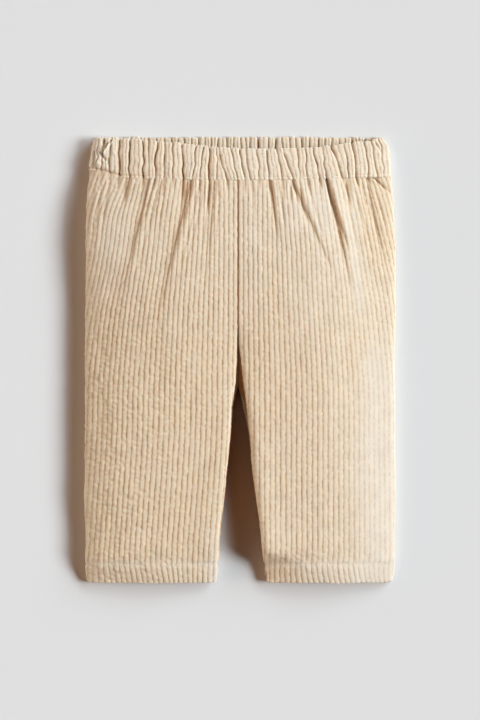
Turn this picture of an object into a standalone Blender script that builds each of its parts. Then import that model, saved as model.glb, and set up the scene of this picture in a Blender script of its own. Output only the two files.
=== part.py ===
"""Small child's pull-on corduroy trousers, laid on their back on a flat surface.

+Z is up from the surface, +Y runs from the hems to the waist and +X is the wearer's left.
The origin is on the surface, at the middle of the outline. Sizes are in millimetres.

The two fronts arch over the two backs, which lie flat. Each panel is a row of sections across
the body, from its inner edge (centre seam, crotch fork, inseam) out to the side seam.
"""

import bmesh
import bpy
import numpy as np

MM = 0.001

# The cut
HALF_LENGTH = 174.0
WALE_PITCH = 4.1
WALE_HEIGHT = 0.7
CLOTH = 1.4  # the ground cloth under the wales
FLAT_CLOTH = 1.8  # the backs, wales pressed flat
TURN_UP_CLOTH = 1.3
TURN_UP_DEPTH = 15.0
HEM_STEP = 0.2  # how far the turned-up cloth stands back from the hem's edge
CASING = 3.0  # two layers of cloth and the elastic
SEAM_GAP = 0.3
SEAM_HEIGHT = 6.35  # of the side seams and inseams above the surface
CUT_EASE = 0.10  # how much wider the hips' cloth is than what it covers
RIGHT_LEG_DRIFT = 7.8  # how far the right leg's wales drift outwards at the hem
CENTRE_X = -1.5  # the centre-front and centre-back seams
CASING_Y = 140.0  # the casing's seam at the centre front
CASING_TOP_Y = 173.7
CASING_HALF_WIDTH = 118.0

# Sections up the garment. out and inner are distances from the centre plane to the leg's
# silhouette, edge the same to its inner edge at the bottom, and the rest heights.
STATION_COLUMNS = (
    "y", "left_out", "right_out", "left_inner", "right_inner", "left_edge", "right_edge",
    "crown", "inner_height", "outer_height", "edge_height", "wall", "back_lift", "back_wall",
)
STATIONS = (
    (-174.0, 119.6, 120.6, 21.8, 18.7, 22.2, 19.1, 17.5, 15.0, 10.0, 6.5, 1.0, 6.2, 1.0),
    (-159.0, 121.3, 121.3, 19.3, 17.5, 19.7, 17.9, 18.5, 16.0, 10.5, 6.5, 1.0, 6.2, 1.0),
    (-133.0, 121.3, 121.3, 16.4, 16.4, 16.7, 16.7, 20.5, 18.0, 11.0, 6.5, 1.0, 6.2, 1.0),
    (-109.0, 121.3, 121.3, 13.3, 13.3, 13.5, 13.5, 22.0, 19.5, 11.5, 6.6, 1.0, 6.2, 1.0),
    (-78.0, 121.3, 121.2, 9.4, 10.1, 9.4, 10.2, 23.5, 20.5, 12.0, 7.0, 1.0, 6.2, 1.0),
    (-55.0, 121.3, 121.1, 7.8, 7.8, 6.4, 7.5, 24.5, 21.5, 12.5, 7.7, 1.0, 6.2, 1.0),
    (-34.0, 121.3, 121.0, 5.7, 6.4, 2.0, 5.0, 25.2, 22.3, 13.0, 8.2, 1.0, 6.0, 1.0),
    (-19.5, 121.3, 121.0, 3.4, 4.2, -1.2, 1.8, 25.6, 22.8, 13.0, 9.0, 1.0, 4.6, 0.4),
    (0.0, 121.3, 120.9, 1.4, 2.9, -1.35, 1.65, 26.2, 23.5, 13.0, 9.6, 1.0, 1.6, 0.0),
    (16.0, 121.3, 120.9, -0.4, 2.5, -1.35, 1.65, 26.7, 24.5, 13.0, 12.5, 0.8, 0.0, 0.0),
    (31.0, 121.3, 120.9, -0.7, 2.2, -1.35, 1.65, 27.0, 25.5, 13.0, 18.5, 0.35, 0.0, 0.0),
    (47.0, 121.2, 120.7, -1.0, 1.9, -1.35, 1.65, 27.0, 26.2, 13.0, 23.0, 0.0, 0.0, 0.0),
    (86.0, 120.8, 120.1, -1.35, 1.65, -1.35, 1.65, 26.5, 26.0, 13.0, 24.0, 0.0, 0.0, 0.0),
    (120.0, 119.3, 119.3, -1.35, 1.65, -1.35, 1.65, 24.2, 24.0, 12.5, 22.2, 0.0, 0.0, 0.0),
    (140.0, 117.9, 118.4, -1.35, 1.65, -1.35, 1.65, 22.0, 22.0, 12.0, 21.0, 0.0, 0.0, 0.0),
)
FRONT_ROWS = (140.0, 131.0, 120.0, 106.0, 90.0, 70.0, 50.0, 34.0, 18.0, 2.0, -16.0, -34.0,
              -62.0, -96.0, -128.0, -159.0, -174.0)
BACK_ROWS = (140.0, 90.0, 40.0, 16.0, 4.0, -8.0, -19.5, -27.0, -38.0, -70.0, -110.0, -159.0, -174.0)
BACK_COLUMNS = (0.0, 0.008, 0.02, 0.035, 0.06, 0.11, 0.3, 0.5, 0.7, 0.88, 0.92, 0.945, 0.965,
                0.98, 1.0)  # shares of the way across, closest where the back turns up

# Soft folds that run down from the casing, and the cloth that each takes in at its top
FOLD_COLUMNS = ("x_top", "y_top", "x_low", "y_low", "depth", "half_width", "takes_in")
FOLDS = (
    (-86.0, 146.0, -86.0, 112.0, 0.9, 3.0, 2.5),
    (-68.6, 146.0, -85.0, 70.0, 1.6, 4.2, 5.0),
    (-59.3, 146.0, -68.0, 112.0, 1.0, 3.2, 3.0),
    (-36.7, 146.0, -58.5, 55.0, 1.9, 4.6, 6.0),
    (-44.5, 146.0, -46.0, 108.0, 0.9, 3.2, 2.5),
    (-19.5, 146.0, -25.0, 58.0, 1.4, 4.2, 5.0),
    (22.5, 146.0, 32.0, 84.0, 1.5, 4.2, 5.0),
    (43.0, 146.0, 62.4, 62.0, 1.4, 4.2, 5.0),
    (66.5, 148.0, 88.0, 50.0, 2.4, 4.8, 6.5),
    (82.0, 146.0, 87.0, 112.0, 0.9, 3.2, 2.5),
    (97.5, 146.0, 113.0, 68.0, 1.3, 4.2, 4.0),
)

# Gathers of the front casing: where each crease meets the top edge and the seam
GATHER_COLUMNS = ("x_top", "x_seam", "depth")
FRONT_GATHERS = (
    (-107.0, -108.0, 0.9),
    (-100.9, -100.9, 0.9),
    (-94.4, -93.8, 1.3),
    (-86.0, -85.8, 1.7),
    (-75.9, -75.0, 1.5),
    (-70.6, -70.0, 0.8),
    (-64.0, -65.8, 1.2),
    (-58.7, -59.0, 1.0),
    (-52.3, -52.3, 0.9),
    (-45.4, -43.7, 1.5),
    (-34.4, -37.4, 1.1),
    (-28.4, -31.4, 1.2),
    (-23.8, -24.0, 1.5),
    (-18.4, -18.4, 0.8),
    (-14.0, -10.1, 1.3),
    (-7.0, -1.7, 0.9),
    (-0.5, 3.7, 1.1),
    (4.6, 8.2, 0.8),
    (12.5, 14.6, 0.8),
    (20.8, 22.6, 1.5),
    (28.6, 32.8, 1.0),
    (35.4, 41.0, 1.4),
    (44.6, 46.4, 0.7),
    (50.7, 52.3, 1.2),
    (57.0, 61.4, 1.5),
    (64.8, 67.4, 1.4),
    (72.6, 79.6, 1.4),
    (81.0, 84.4, 0.8),
    (87.6, 90.3, 1.5),
    (97.5, 99.6, 1.5),
    (103.7, 107.0, 1.1),
)
CASING_ROWS = (0.0, 0.12, 0.38, 0.65, 0.92, 1.0)  # from the casing's seam up to its top fold
BACK_CASING_ROWS = (0.0, 0.5, 0.92, 1.0)
CASING_PLAIN_COLUMNS = 41
CASING_END = 1.8  # its thickness at the side seams
CASING_PROUD = 0.6  # the casing's face above the fronts' ground cloth
CASING_SWELL = 0.9
CASING_NARROWS = 0.04
CASING_SETTLES = 0.1  # the share of its height that the front casing loses at its top edge
FOLD_ROUNDING = 0.8
RIDGE_SWELL = 0.4
GATHERED_HALF_WIDTH = 110.0
BACK_GATHER_COUNT = 37
BACK_GATHER_SPAN = 107.0
BACK_GATHER_DEPTH = 1.1
BACK_GATHER_SHIFT = 1.1  # how far each strays from even spacing

CLOTH_COLOUR = (0.78, 0.66, 0.50)
SHADE_COLOUR = (0.70, 0.57, 0.41)
CLOTH_ROUGHNESS = 0.95


def clear_scene():
    for old in list(bpy.data.objects):
        bpy.data.objects.remove(old, do_unlink=True)


def column(table, names, name):
    return np.array([row[names.index(name)] for row in table], float)


def eased(at, low, high):
    """0 below low, 1 above high, and a smooth step between."""
    t = np.clip((np.asarray(at, float) - low) / (high - low), 0.0, 1.0)
    return t * t * (3.0 - 2.0 * t)


def station(name, y):
    """A column of STATIONS at height y, on a smooth curve through the rows."""
    ys = column(STATIONS, STATION_COLUMNS, "y")
    values = column(STATIONS, STATION_COLUMNS, name)
    slopes = np.gradient(values, ys)
    y = float(np.clip(y, ys[0], ys[-1]))
    i = min(max(int(np.searchsorted(ys, y)) - 1, 0), len(ys) - 2)
    gap = ys[i + 1] - ys[i]
    t = (y - ys[i]) / gap
    smooth = (
        (2 * t**3 - 3 * t**2 + 1) * values[i]
        + (t**3 - 2 * t**2 + t) * gap * slopes[i]
        + (3 * t**2 - 2 * t**3) * values[i + 1]
        + (t**3 - t**2) * gap * slopes[i + 1]
    )
    return float(np.clip(smooth, min(values[i : i + 2]), max(values[i : i + 2])))


def smooth_curve(points, samples=260):
    """A cubic B-spline through the first and last point, pulled towards the others."""
    points = np.asarray(points, float)
    held = np.concatenate([points[:1], points[:1], points, points[-1:], points[-1:]])
    spans = len(held) - 3
    at = np.linspace(0.0, spans, samples)
    i = np.minimum(at.astype(int), spans - 1)
    f = (at - i)[:, None]
    return (
        (1 - f) ** 3 * held[i]
        + (3 * f**3 - 6 * f**2 + 4) * held[i + 1]
        + (-3 * f**3 + 3 * f**2 + 3 * f + 1) * held[i + 2]
        + f**3 * held[i + 3]
    ) / 6.0


def arc_lengths(curve):
    steps = np.linalg.norm(np.diff(curve, axis=0), axis=1)
    return np.concatenate([[0.0], np.cumsum(steps)])


def mixed(first, second, share):
    return (1.0 - share) * np.asarray(first, float) + share * np.asarray(second, float)


def front_section(side, y, dip=1.0):
    """The front's section at height y: distance from the centre plane, and height."""
    name = "left" if side > 0 else "right"
    out = station(name + "_out", y) - WALE_HEIGHT
    inner = station(name + "_inner", y)
    edge = station(name + "_edge", y)
    crown = station("crown", y)
    inner_height = mixed(crown, station("inner_height", y), dip)
    outer_height = station("outer_height", y)
    low = mixed(crown, station("edge_height", y), dip)
    width = out - inner
    body = (
        (edge, low),
        (edge + 1.6, low + 0.3),
        (edge + 4.5, inner_height),
        (edge + 12.0, inner_height),
    )
    leg = (
        (edge, low),
        (inner + 0.3, low + 2.2),
        (inner - 0.4, 0.88 * inner_height),
        (inner + 5.5, inner_height + 1.5),
    )
    first = mixed(body, leg, station("wall", y))
    rest = np.array((
        (inner + 0.28 * width, crown),
        (inner + 0.55 * width, crown),
        (inner + 0.78 * width, mixed(crown, outer_height, 0.45)),
        (out - 12.0, outer_height + 2.4),
        (out - 3.8, outer_height + 0.2),
        (out + 0.4, mixed(SEAM_HEIGHT, outer_height, 0.55)),
        (out + 0.1, mixed(SEAM_HEIGHT, outer_height, 0.2)),
        (out - 0.3, SEAM_HEIGHT + SEAM_GAP / 2),
    ))
    return smooth_curve(np.concatenate([first, rest]))


def back_section(side, y):
    """The back's underside at height y, flat but for its edges, which turn up to the seams."""
    name = "left" if side > 0 else "right"
    out = station(name + "_out", y) - WALE_HEIGHT
    edge = station(name + "_edge", y)
    lift = station("back_lift", y)
    body = (
        (edge, lift),
        (edge + 1.0, lift),
        (edge + 4.0, 0.4 * lift),
        (edge + 7.0, 0.0),
        (edge + 9.0, 0.0),
    )
    leg = (
        (edge, lift),
        (edge + 0.1, 0.55 * lift),
        (edge + 1.0, 0.16 * lift),
        (edge + 3.4, 0.0),
        (edge + 8.0, 0.0),
    )
    first = mixed(body, leg, station("back_wall", y))
    rest = np.array((
        (edge + 14.0, 0.0),
        (0.5 * (edge + out), 0.0),
        (out - 14.0, 0.0),
        (out - 8.0, 0.0),
        (out - 3.4, 0.0),
        (out - 0.8, 0.16 * SEAM_HEIGHT),
        (out + 0.1, 0.55 * SEAM_HEIGHT),
        (out - 0.3, SEAM_HEIGHT - SEAM_GAP / 2),
    ))
    return smooth_curve(np.concatenate([first, rest]))


def back_seam_line(x):
    """The casing's seam, lower in the middle than at the sides."""
    return CASING_Y + 3.4 * (x / CASING_HALF_WIDTH) ** 2


def seam_line(x):
    """The same at the front, where it also climbs to the wearer's right side seam."""
    return back_seam_line(x) + 5.0 * eased(-x, 88.0, 117.0)


def top_line(x):
    """The front casing's top edge, which dips in the middle."""
    return CASING_TOP_Y - 0.7 - 8.6 * np.exp(-(((x + 2.0) / 52.0) ** 2))


def waisted(x, y, line):
    """A panel's height up the garment, bent at the top to follow the casing's seam."""
    return y + (line(x) - CASING_Y) * eased(y, 80.0, CASING_Y)


def fold_depth(x, y):
    """How far the soft folds push the cloth down at a point."""
    total = np.zeros(np.shape(x))
    for x_top, y_top, x_low, y_low, depth, half_width, _ in FOLDS:
        along = np.clip((y_top - y) / (y_top - y_low), 0.0, 1.0)
        away = (x - mixed(x_top, x_low, along)) / half_width
        total = total + depth * (1.0 - eased(along, 0.35, 1.0)) * np.exp(-(away**2))
    return total


def grain(side, y, curve, arc):
    """The place in the flat cut of each point of a section, so that wales run straight in it."""
    name = "left" if side > 0 else "right"
    inner = station(name + "_inner", y)
    seam = side * CENTRE_X
    on_top = int(np.argmax(curve[:, 0] > inner + 3.0))
    across = arc - arc[on_top] + 3.0
    place = across * (1.0 + CUT_EASE * eased(y, -40.0, 100.0)) + (inner - seam)
    if side < 0:
        place = place + RIGHT_LEG_DRIFT * (1.0 - eased(y, -170.0, -30.0))
    for x_top, y_top, x_low, y_low, _, half_width, takes_in in FOLDS:
        if x_top * side < 0:
            continue
        along = np.clip((y_top - y) / (y_top - y_low), 0.0, 1.0)
        away = (curve[:, 0] - side * mixed(x_top, x_low, along)) / half_width
        place = place + takes_in * (1.0 - along) * 0.5 * (1.0 + np.tanh(away))
    return place


def surface(section, side, y, at):
    """Points on a panel at height y, at the given shares of its arc, and the way up from each."""
    step = 1.0
    line = seam_line if section is front_section else back_seam_line
    rows = []
    for height in (y - step, y, y + step):
        curve = section(side, height)
        arc = arc_lengths(curve)
        wanted = np.asarray(at) * arc[-1]
        here = np.stack([np.interp(wanted, arc, curve[:, k]) for k in (0, 1)], axis=1)
        ahead = np.stack([np.interp(wanted + 0.4, arc, curve[:, k]) for k in (0, 1)], axis=1)
        behind = np.stack([np.interp(wanted - 0.4, arc, curve[:, k]) for k in (0, 1)], axis=1)
        x = side * here[:, 0]
        points = np.stack([x, waisted(x, height, line), here[:, 1]], axis=1)
        along = np.stack([side * (ahead - behind)[:, 0], 0.0 * x, (ahead - behind)[:, 1]], axis=1)
        rows.append((points, along))
    up = rows[2][0] - rows[0][0]
    out = np.cross(rows[1][1], up) * side
    out /= np.linalg.norm(out, axis=1)[:, None]
    return rows[1][0], out


def stitched(first, second, first_at, second_at):
    """Triangles between two rows of points, each row with its points' places along it."""
    faces = []
    i = j = 0
    while i < len(first) - 1 or j < len(second) - 1:
        go_first = j == len(second) - 1 or (
            i < len(first) - 1 and first_at[i] + first_at[i + 1] <= second_at[j] + second_at[j + 1]
        )
        if go_first:
            faces.append((first[i], first[i + 1], second[j]))
            i += 1
        else:
            faces.append((first[i], second[j + 1], second[j]))
            j += 1
    return faces


def shell(name, outer, inner, colour):
    """A closed wall. outer and inner are skins: rows of (places along the row, points)."""
    points = []
    numbered = []
    for skin in (outer, inner):
        rows = []
        for _, row in skin:
            rows.append(list(range(len(points), len(points) + len(row))))
            points.extend(row)
        numbered.append(rows)
    outside, inside = numbered
    faces = []
    for skin, rows in ((outer, outside), (inner, inside)):
        for k in range(len(rows) - 1):
            faces += stitched(rows[k], rows[k + 1], skin[k][0], skin[k + 1][0])
    for k in (0, -1):
        faces += stitched(outside[k], inside[k], shares(outer[k][0]), shares(inner[k][0]))
    for k in (0, -1):
        near = [row[k] for row in outside]
        far = [row[k] for row in inside]
        faces += stitched(near, far, range(len(near)), range(len(far)))
    mesh = bpy.data.meshes.new(name)
    mesh.from_pydata([tuple(MM * np.asarray(p)) for p in points], [], faces)
    work = bmesh.new()
    work.from_mesh(mesh)
    bmesh.ops.recalc_face_normals(work, faces=work.faces)
    if work.calc_volume(signed=True) < 0:
        bmesh.ops.reverse_faces(work, faces=work.faces)
    work.to_mesh(mesh)
    work.free()
    mesh.shade_smooth()
    mesh.set_sharp_from_angle(angle=np.radians(50.0))
    made = bpy.data.objects.new(name, mesh)
    bpy.context.scene.collection.objects.link(made)
    made.data.materials.append(cloth_material(name, colour))
    return made


def shares(places):
    places = np.asarray(places, float)
    return (places - places[0]) / (places[-1] - places[0])


def cloth_material(name, colour):
    material = bpy.data.materials.new(name)
    material.use_nodes = True
    shader = material.node_tree.nodes["Principled BSDF"]
    shader.inputs["Base Color"].default_value = (*colour, 1.0)
    shader.inputs["Roughness"].default_value = CLOTH_ROUGHNESS
    shader.inputs["Metallic"].default_value = 0.0
    return material


def wale_columns(side, y):
    """Shares of the arc for a row's points, their places in the cut, and the wale's height there.

    Each wale has a valley and two shoulders, so three columns of points a wale.
    """
    curve = front_section(side, y)
    arc = arc_lengths(curve)
    place = grain(side, y, curve, arc)
    step = WALE_PITCH / 3.0
    first = int(np.ceil(place[0] / step + 0.4))
    last = int(np.floor(place[-1] / step - 0.4))
    numbers = np.arange(first, last + 1)
    inside = np.interp(numbers * step, place, arc)
    at = np.concatenate([[0.0], inside, [arc[-1]]]) / arc[-1]
    raised = np.where(numbers % 3 == 0, 0.0, WALE_HEIGHT)
    raised = raised * np.clip(inside / 3.0, 0.0, 1.0) * np.clip((arc[-1] - inside) / 2.0, 0.0, 1.0)
    places = np.concatenate([[place[0]], numbers * step, [place[-1]]])
    valley = np.concatenate([[True], numbers % 3 == 0, [True]])
    return at, places, np.concatenate([[0.0], raised, [0.0]]), valley


def front_panel(side):
    outer = []
    inner = []
    for y in reversed(FRONT_ROWS):
        y = min(y, CASING_Y - SEAM_GAP / 2)
        at, places, raised, valley = wale_columns(side, y)
        points, out = surface(front_section, side, y, at)
        points = points - out * fold_depth(points[:, 0], points[:, 1])[:, None]
        outer.append((places, points + out * raised[:, None]))
        lined = points - out * CLOTH
        lined[-1] = points[-1] - (side * CLOTH, 0.0, 0.0)
        inner.append((places[valley], lined[valley]))
    name = "front_left" if side > 0 else "front_right"
    return shell(name, outer, inner, CLOTH_COLOUR)


def back_panel(side):
    at = np.array(BACK_COLUMNS)
    outer = []
    inner = []
    for y in reversed(BACK_ROWS):
        y = min(y, CASING_Y - SEAM_GAP / 2)
        points, upward = surface(back_section, side, y, at)
        lined = points + upward * FLAT_CLOTH
        lined[-1] = points[-1] - (side * FLAT_CLOTH, 0.0, 0.0)
        outer.append((at, points))
        inner.append((at, lined))
    name = "back_left" if side > 0 else "back_right"
    return shell(name, outer, inner, SHADE_COLOUR)


def front_arch(y):
    """The front casing's section from seam to seam: the fronts', but for the dip at the centre."""
    right = front_section(-1, y, 0.0)[::-1] * (-1.0, 1.0)
    return np.concatenate([right, front_section(1, y, 0.0)])


def back_arch(y):
    right = back_section(-1, y)[::-1] * (-1.0, 1.0)
    return np.concatenate([right, back_section(1, y)])


def laid_along(arch, at):
    """Points of an arch at shares of its length, as x and height, and the way up from each."""
    arc = arc_lengths(arch)
    wanted = np.asarray(at) * arc[-1]
    points = np.stack([np.interp(wanted, arc, arch[:, k]) for k in (0, 1)], axis=1)
    ahead = np.stack([np.interp(wanted + 0.5, arc, arch[:, k]) for k in (0, 1)], axis=1)
    behind = np.stack([np.interp(wanted - 0.5, arc, arch[:, k]) for k in (0, 1)], axis=1)
    along = ahead - behind
    up = np.stack([-along[:, 1], along[:, 0]], axis=1)
    return points, up / np.linalg.norm(up, axis=1)[:, None]


def share_at(arch, x):
    """The share of the arch's length at which it passes over x."""
    middle = np.abs(arch[:, 0]) < GATHERED_HALF_WIDTH + 2.0
    arc = arc_lengths(arch)
    return np.interp(x, arch[middle, 0], arc[middle]) / arc[-1]


def ridges_between(creases, depths):
    """Columns across a gathered wall: each crease, and three columns over the ridge beyond it."""
    at = []
    dents = []
    for k in range(len(creases) - 1):
        ridge = (
            (0.0, depths[k]),
            (0.28, 0.12 * depths[k]),
            (0.5, -RIDGE_SWELL),
            (0.72, 0.12 * depths[k + 1]),
        )
        for share, dent in ridge:
            at.append(mixed(creases[k], creases[k + 1], share))
            dents.append(dent)
    at.append(creases[-1])
    dents.append(depths[-1])
    return np.array(at), np.array(dents)


def ended(creases, depths):
    """Creases with the side seams, and one more crease towards each, at the ends of the casing."""
    low = mixed(0.0, creases[0], 0.5)
    high = mixed(1.0, creases[-1], 0.5)
    return (
        np.concatenate([[0.0, low], creases, [high, 1.0]]),
        np.concatenate([[0.3, 0.6], depths, [0.6, 0.3]]),
    )


def towards_end(x, power):
    """0 over most of the casing and 1 at its side seams."""
    return (np.abs(x) / CASING_HALF_WIDTH) ** power


def casing_points(flat, rise, line, top):
    """Section points put at their height up the casing, which narrows to its top edge."""
    x = flat[:, 0]
    narrowed = x * (1.0 - CASING_NARROWS * eased(rise, 0.4, 1.0) * towards_end(x, 8))
    low = line(x) + SEAM_GAP / 2
    y = low + (top(x) - low) * rise
    above = np.maximum(flat[:, 1] - SEAM_HEIGHT, 0.0)
    return np.stack([narrowed, y, flat[:, 1] - CASING_SETTLES * rise * above], axis=1)


def level_ends(points, height):
    points[[0, -1], 2] = height
    return points


def front_casing():
    arch = front_arch(CASING_Y)
    depths = column(FRONT_GATHERS, GATHER_COLUMNS, "depth")
    at_seam = share_at(arch, column(FRONT_GATHERS, GATHER_COLUMNS, "x_seam"))
    at_top = share_at(arch, column(FRONT_GATHERS, GATHER_COLUMNS, "x_top"))
    outer = []
    inner = []
    for rise in CASING_ROWS:
        rounded = FOLD_ROUNDING if rise == CASING_ROWS[-1] else 0.0
        at, dents = ridges_between(*ended(mixed(at_seam, at_top, rise), depths))
        points, up = laid_along(arch, at)
        puffed = np.sin(np.pi * rise)
        swell = CASING_SWELL * puffed * (1.0 - 0.7 * towards_end(points[:, 0], 8))
        proud = CASING_PROUD + swell - dents * (0.7 + 0.3 * puffed) - rounded
        skin = casing_points(points + up * proud[:, None], rise, seam_line, top_line)
        outer.append((at, level_ends(skin, SEAM_HEIGHT + SEAM_GAP / 2)))
        at = np.linspace(0.0, 1.0, CASING_PLAIN_COLUMNS)
        points, up = laid_along(arch, at)
        lined = points - up * (CASING - CASING_PROUD - rounded)
        skin = casing_points(lined, rise, seam_line, top_line)
        inner.append((at, level_ends(skin, SEAM_HEIGHT + SEAM_GAP / 2)))
    return shell("waistband_front", outer, inner, CLOTH_COLOUR)


def back_top_line(x):
    return CASING_TOP_Y + 0.3 - 1.2 * towards_end(x, 8)


def back_casing():
    """It lies flat, so the gathers show on its inner face alone."""
    arch = back_arch(CASING_Y)
    count = np.arange(BACK_GATHER_COUNT)
    spread = np.linspace(-1.0, 1.0, BACK_GATHER_COUNT) * BACK_GATHER_SPAN
    creases = share_at(arch, spread + BACK_GATHER_SHIFT * np.sin(2.4 * count))
    depths = BACK_GATHER_DEPTH * (1.0 + 0.4 * np.sin(1.7 * count))
    under = []
    face = []
    for rise in BACK_CASING_ROWS:
        rounded = FOLD_ROUNDING if rise == BACK_CASING_ROWS[-1] else 0.0
        at = np.linspace(0.0, 1.0, CASING_PLAIN_COLUMNS)
        points, up = laid_along(arch, at)
        skin = casing_points(points, rise, back_seam_line, back_top_line)
        under.append((at, level_ends(skin, SEAM_HEIGHT - SEAM_GAP / 2)))
        at, dents = ridges_between(*ended(creases, depths))
        points, up = laid_along(arch, at)
        thick = CASING - 2.0 * rounded - dents * (1.0 - 0.8 * rounded)
        thick = mixed(thick, CASING_END, towards_end(points[:, 0], 16))
        skin = casing_points(points + up * thick[:, None], rise, back_seam_line, back_top_line)
        face.append((at, level_ends(skin, SEAM_HEIGHT - SEAM_GAP / 2)))
    return shell("waistband_back", under, face, SHADE_COLOUR)


def turn_up(side, section, name, inward, cloth, height):
    """The cloth turned up inside a leg's hem, lying against the panel that it belongs to."""
    skins = ([], [])
    for y in (-HALF_LENGTH, -HALF_LENGTH + TURN_UP_DEPTH):
        at = np.array(BACK_COLUMNS)
        places = at
        if section is front_section:
            at, places, _, valley = wale_columns(side, y)
            at = at[valley]
            places = places[valley]
        points, up = surface(section, side, y, at)
        for skin, depth in zip(skins, (cloth + SEAM_GAP, cloth + SEAM_GAP + TURN_UP_CLOTH)):
            lined = points + inward * up * depth
            lined[0] = points[0] + (side * depth, 0.0, 0.0)
            lined[-1] = points[-1] - (side * depth, 0.0, 0.0)
            reach = abs(lined[-1, 0])
            lined[:, 0] = np.clip(lined[:, 0], -reach, reach)
            lined[:, 1] += HEM_STEP if y == -HALF_LENGTH else 0.0
            lined[:, 2] = inward * np.minimum(inward * lined[:, 2], inward * height)
            skin.append((places, level_ends(lined, height)))
    return shell(name + ("_left" if side > 0 else "_right"), *skins, SHADE_COLOUR)


def main():
    clear_scene()
    for side in (1, -1):
        front_panel(side)
        back_panel(side)
        turn_up(side, front_section, "hem_front", -1.0, CLOTH, SEAM_HEIGHT + SEAM_GAP / 2)
        turn_up(side, back_section, "hem_back", 1.0, FLAT_CLOTH, SEAM_HEIGHT - SEAM_GAP / 2)
    front_casing()
    back_casing()


main()
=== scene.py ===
"""Small child's pull-on corduroy trousers, laid on their back: cloth, sewing, finish and studio.

Sizes are in millimetres, turned to metres where a mesh is made. +Z is up from the surface, +Y
runs from the hems to the waist and +X is the wearer's left.
"""

import bmesh
import bpy
import numpy as np
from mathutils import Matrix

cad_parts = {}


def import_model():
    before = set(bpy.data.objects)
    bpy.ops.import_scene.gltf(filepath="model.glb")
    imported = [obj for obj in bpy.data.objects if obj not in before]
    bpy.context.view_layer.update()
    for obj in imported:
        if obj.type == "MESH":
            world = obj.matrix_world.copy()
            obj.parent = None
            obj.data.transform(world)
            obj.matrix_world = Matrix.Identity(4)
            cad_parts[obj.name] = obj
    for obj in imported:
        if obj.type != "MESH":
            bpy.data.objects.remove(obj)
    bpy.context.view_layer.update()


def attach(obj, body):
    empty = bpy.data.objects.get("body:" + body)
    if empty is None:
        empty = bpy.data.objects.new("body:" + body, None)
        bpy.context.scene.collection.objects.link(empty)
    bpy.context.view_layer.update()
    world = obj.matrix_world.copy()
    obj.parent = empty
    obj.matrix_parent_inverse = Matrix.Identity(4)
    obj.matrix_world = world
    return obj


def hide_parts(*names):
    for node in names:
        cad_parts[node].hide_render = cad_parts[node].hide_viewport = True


MM = 0.001

# The cut, as the solids have it
HALF_LENGTH = 174  # the hems lie at -174
WALE_PITCH = 4.1
CLOTH = 1.4
FLAT_CLOTH = 1.8
TURN_UP_CLOTH = 1.3
TURN_UP_DEPTH = 15
HEM_STEP = 0.2
CASING = 3
SEAM_GAP = 0.3
SEAM_HEIGHT = 6.35
CUT_EASE = 0.10
RIGHT_LEG_DRIFT = 7.8
CENTRE_X = -1.5
SIDES = {1: "left", -1: "right"}  # the wearer's, by the sign of x
WALE_HEIGHT = 0.7
CASING_Y = 140
CASING_TOP_Y = 173.7
CASING_HALF_WIDTH = 118
CASING_PROUD = 0.6
CASING_SWELL = 0.9
GATHERED_HALF_WIDTH = 110

# Where the cloth lies otherwise than the solids, which are plainer
CASING_RISE = 33  # where it is highest, at the back
CASING_SETTLES = 0.4  # the share of its height that the casing loses at its top edge
SEAM_DRAWN = 0.12  # how far the centre seam's edges are drawn together
HEM_CORNER_HEIGHT = 5.4  # the least, at the wearer's left hem beside the gap
TAIL_LEAN = 0.3  # of the gathers' tails, outwards at the casing's ends

# The sections at heights y. The solids stand higher at the hems and lower at the centre seam.
STATION_COLUMNS = (
    "y", "left_out", "right_out", "left_inner", "right_inner", "left_edge", "right_edge",
    "crown", "inner_height", "outer_height", "edge_height", "wall", "back_lift", "back_wall",
)
STATIONS = (
    (-174, 119.6, 120.6, 21.8, 18.7, 22.2, 19.1, 11.6, 6.2, 5.2, 3.5, 1, 3.2, 1),
    (-167, 120.6, 121, 20.6, 18.1, 21, 18.5, 14.6, 9.2, 7.2, 4.6, 1, 4.3, 1),
    (-159, 121.3, 121.3, 19.3, 17.5, 19.7, 17.9, 17.2, 13, 9.2, 5.9, 1, 5.6, 1),
    (-150, 121.3, 121.3, 18.3, 17.1, 18.7, 17.5, 19.2, 17, 10.6, 6.5, 1, 6.2, 1),
    (-133, 121.3, 121.3, 16.4, 16.4, 16.7, 16.7, 20.5, 19.4, 11, 6.5, 1, 6.2, 1),
    (-109, 121.3, 121.3, 13.3, 13.3, 13.5, 13.5, 22, 20.3, 11.5, 6.6, 1, 6.2, 1),
    (-78, 121.3, 121.2, 9.4, 10.1, 9.4, 10.2, 23.5, 20.5, 12, 7, 1, 6.2, 1),
    (-55, 121.3, 121.1, 7.8, 7.8, 6.4, 7.5, 24.5, 21.5, 12.5, 7.7, 1, 6.2, 1),
    (-34, 121.3, 121, 5.7, 6.4, 2, 5, 25.2, 22.3, 13, 8.2, 1, 6, 1),
    (-19.5, 121.3, 121, 3.4, 4.2, -1.2, 1.8, 25.6, 22.8, 13, 12, 1, 4.6, 0.4),
    (0, 121.3, 120.9, 1.2, 2.8, -1.35, 1.65, 26.2, 23.5, 13, 16.5, 1, 1.6, 0),
    (16, 121.3, 120.9, -0.9, 2.1, -1.35, 1.65, 26.7, 24.5, 13, 20.5, 0.8, 0, 0),
    (31, 121.3, 120.9, -1.1, 1.85, -1.35, 1.65, 27, 25.5, 13, 24.2, 0.35, 0, 0),
    (47, 121.2, 120.7, -1.2, 1.75, -1.35, 1.65, 27, 26.2, 13, 25.5, 0, 0, 0),
    (86, 120.8, 120.1, -1.35, 1.65, -1.35, 1.65, 26.5, 26, 13, 25.2, 0, 0, 0),
    (120, 119.3, 119.3, -1.35, 1.65, -1.35, 1.65, 24.2, 24, 12.5, 23.3, 0, 0, 0),
    (140, 117.9, 118.4, -1.35, 1.65, -1.35, 1.65, 22, 22, 12, 21.5, 0, 0, 0),
)

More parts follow.
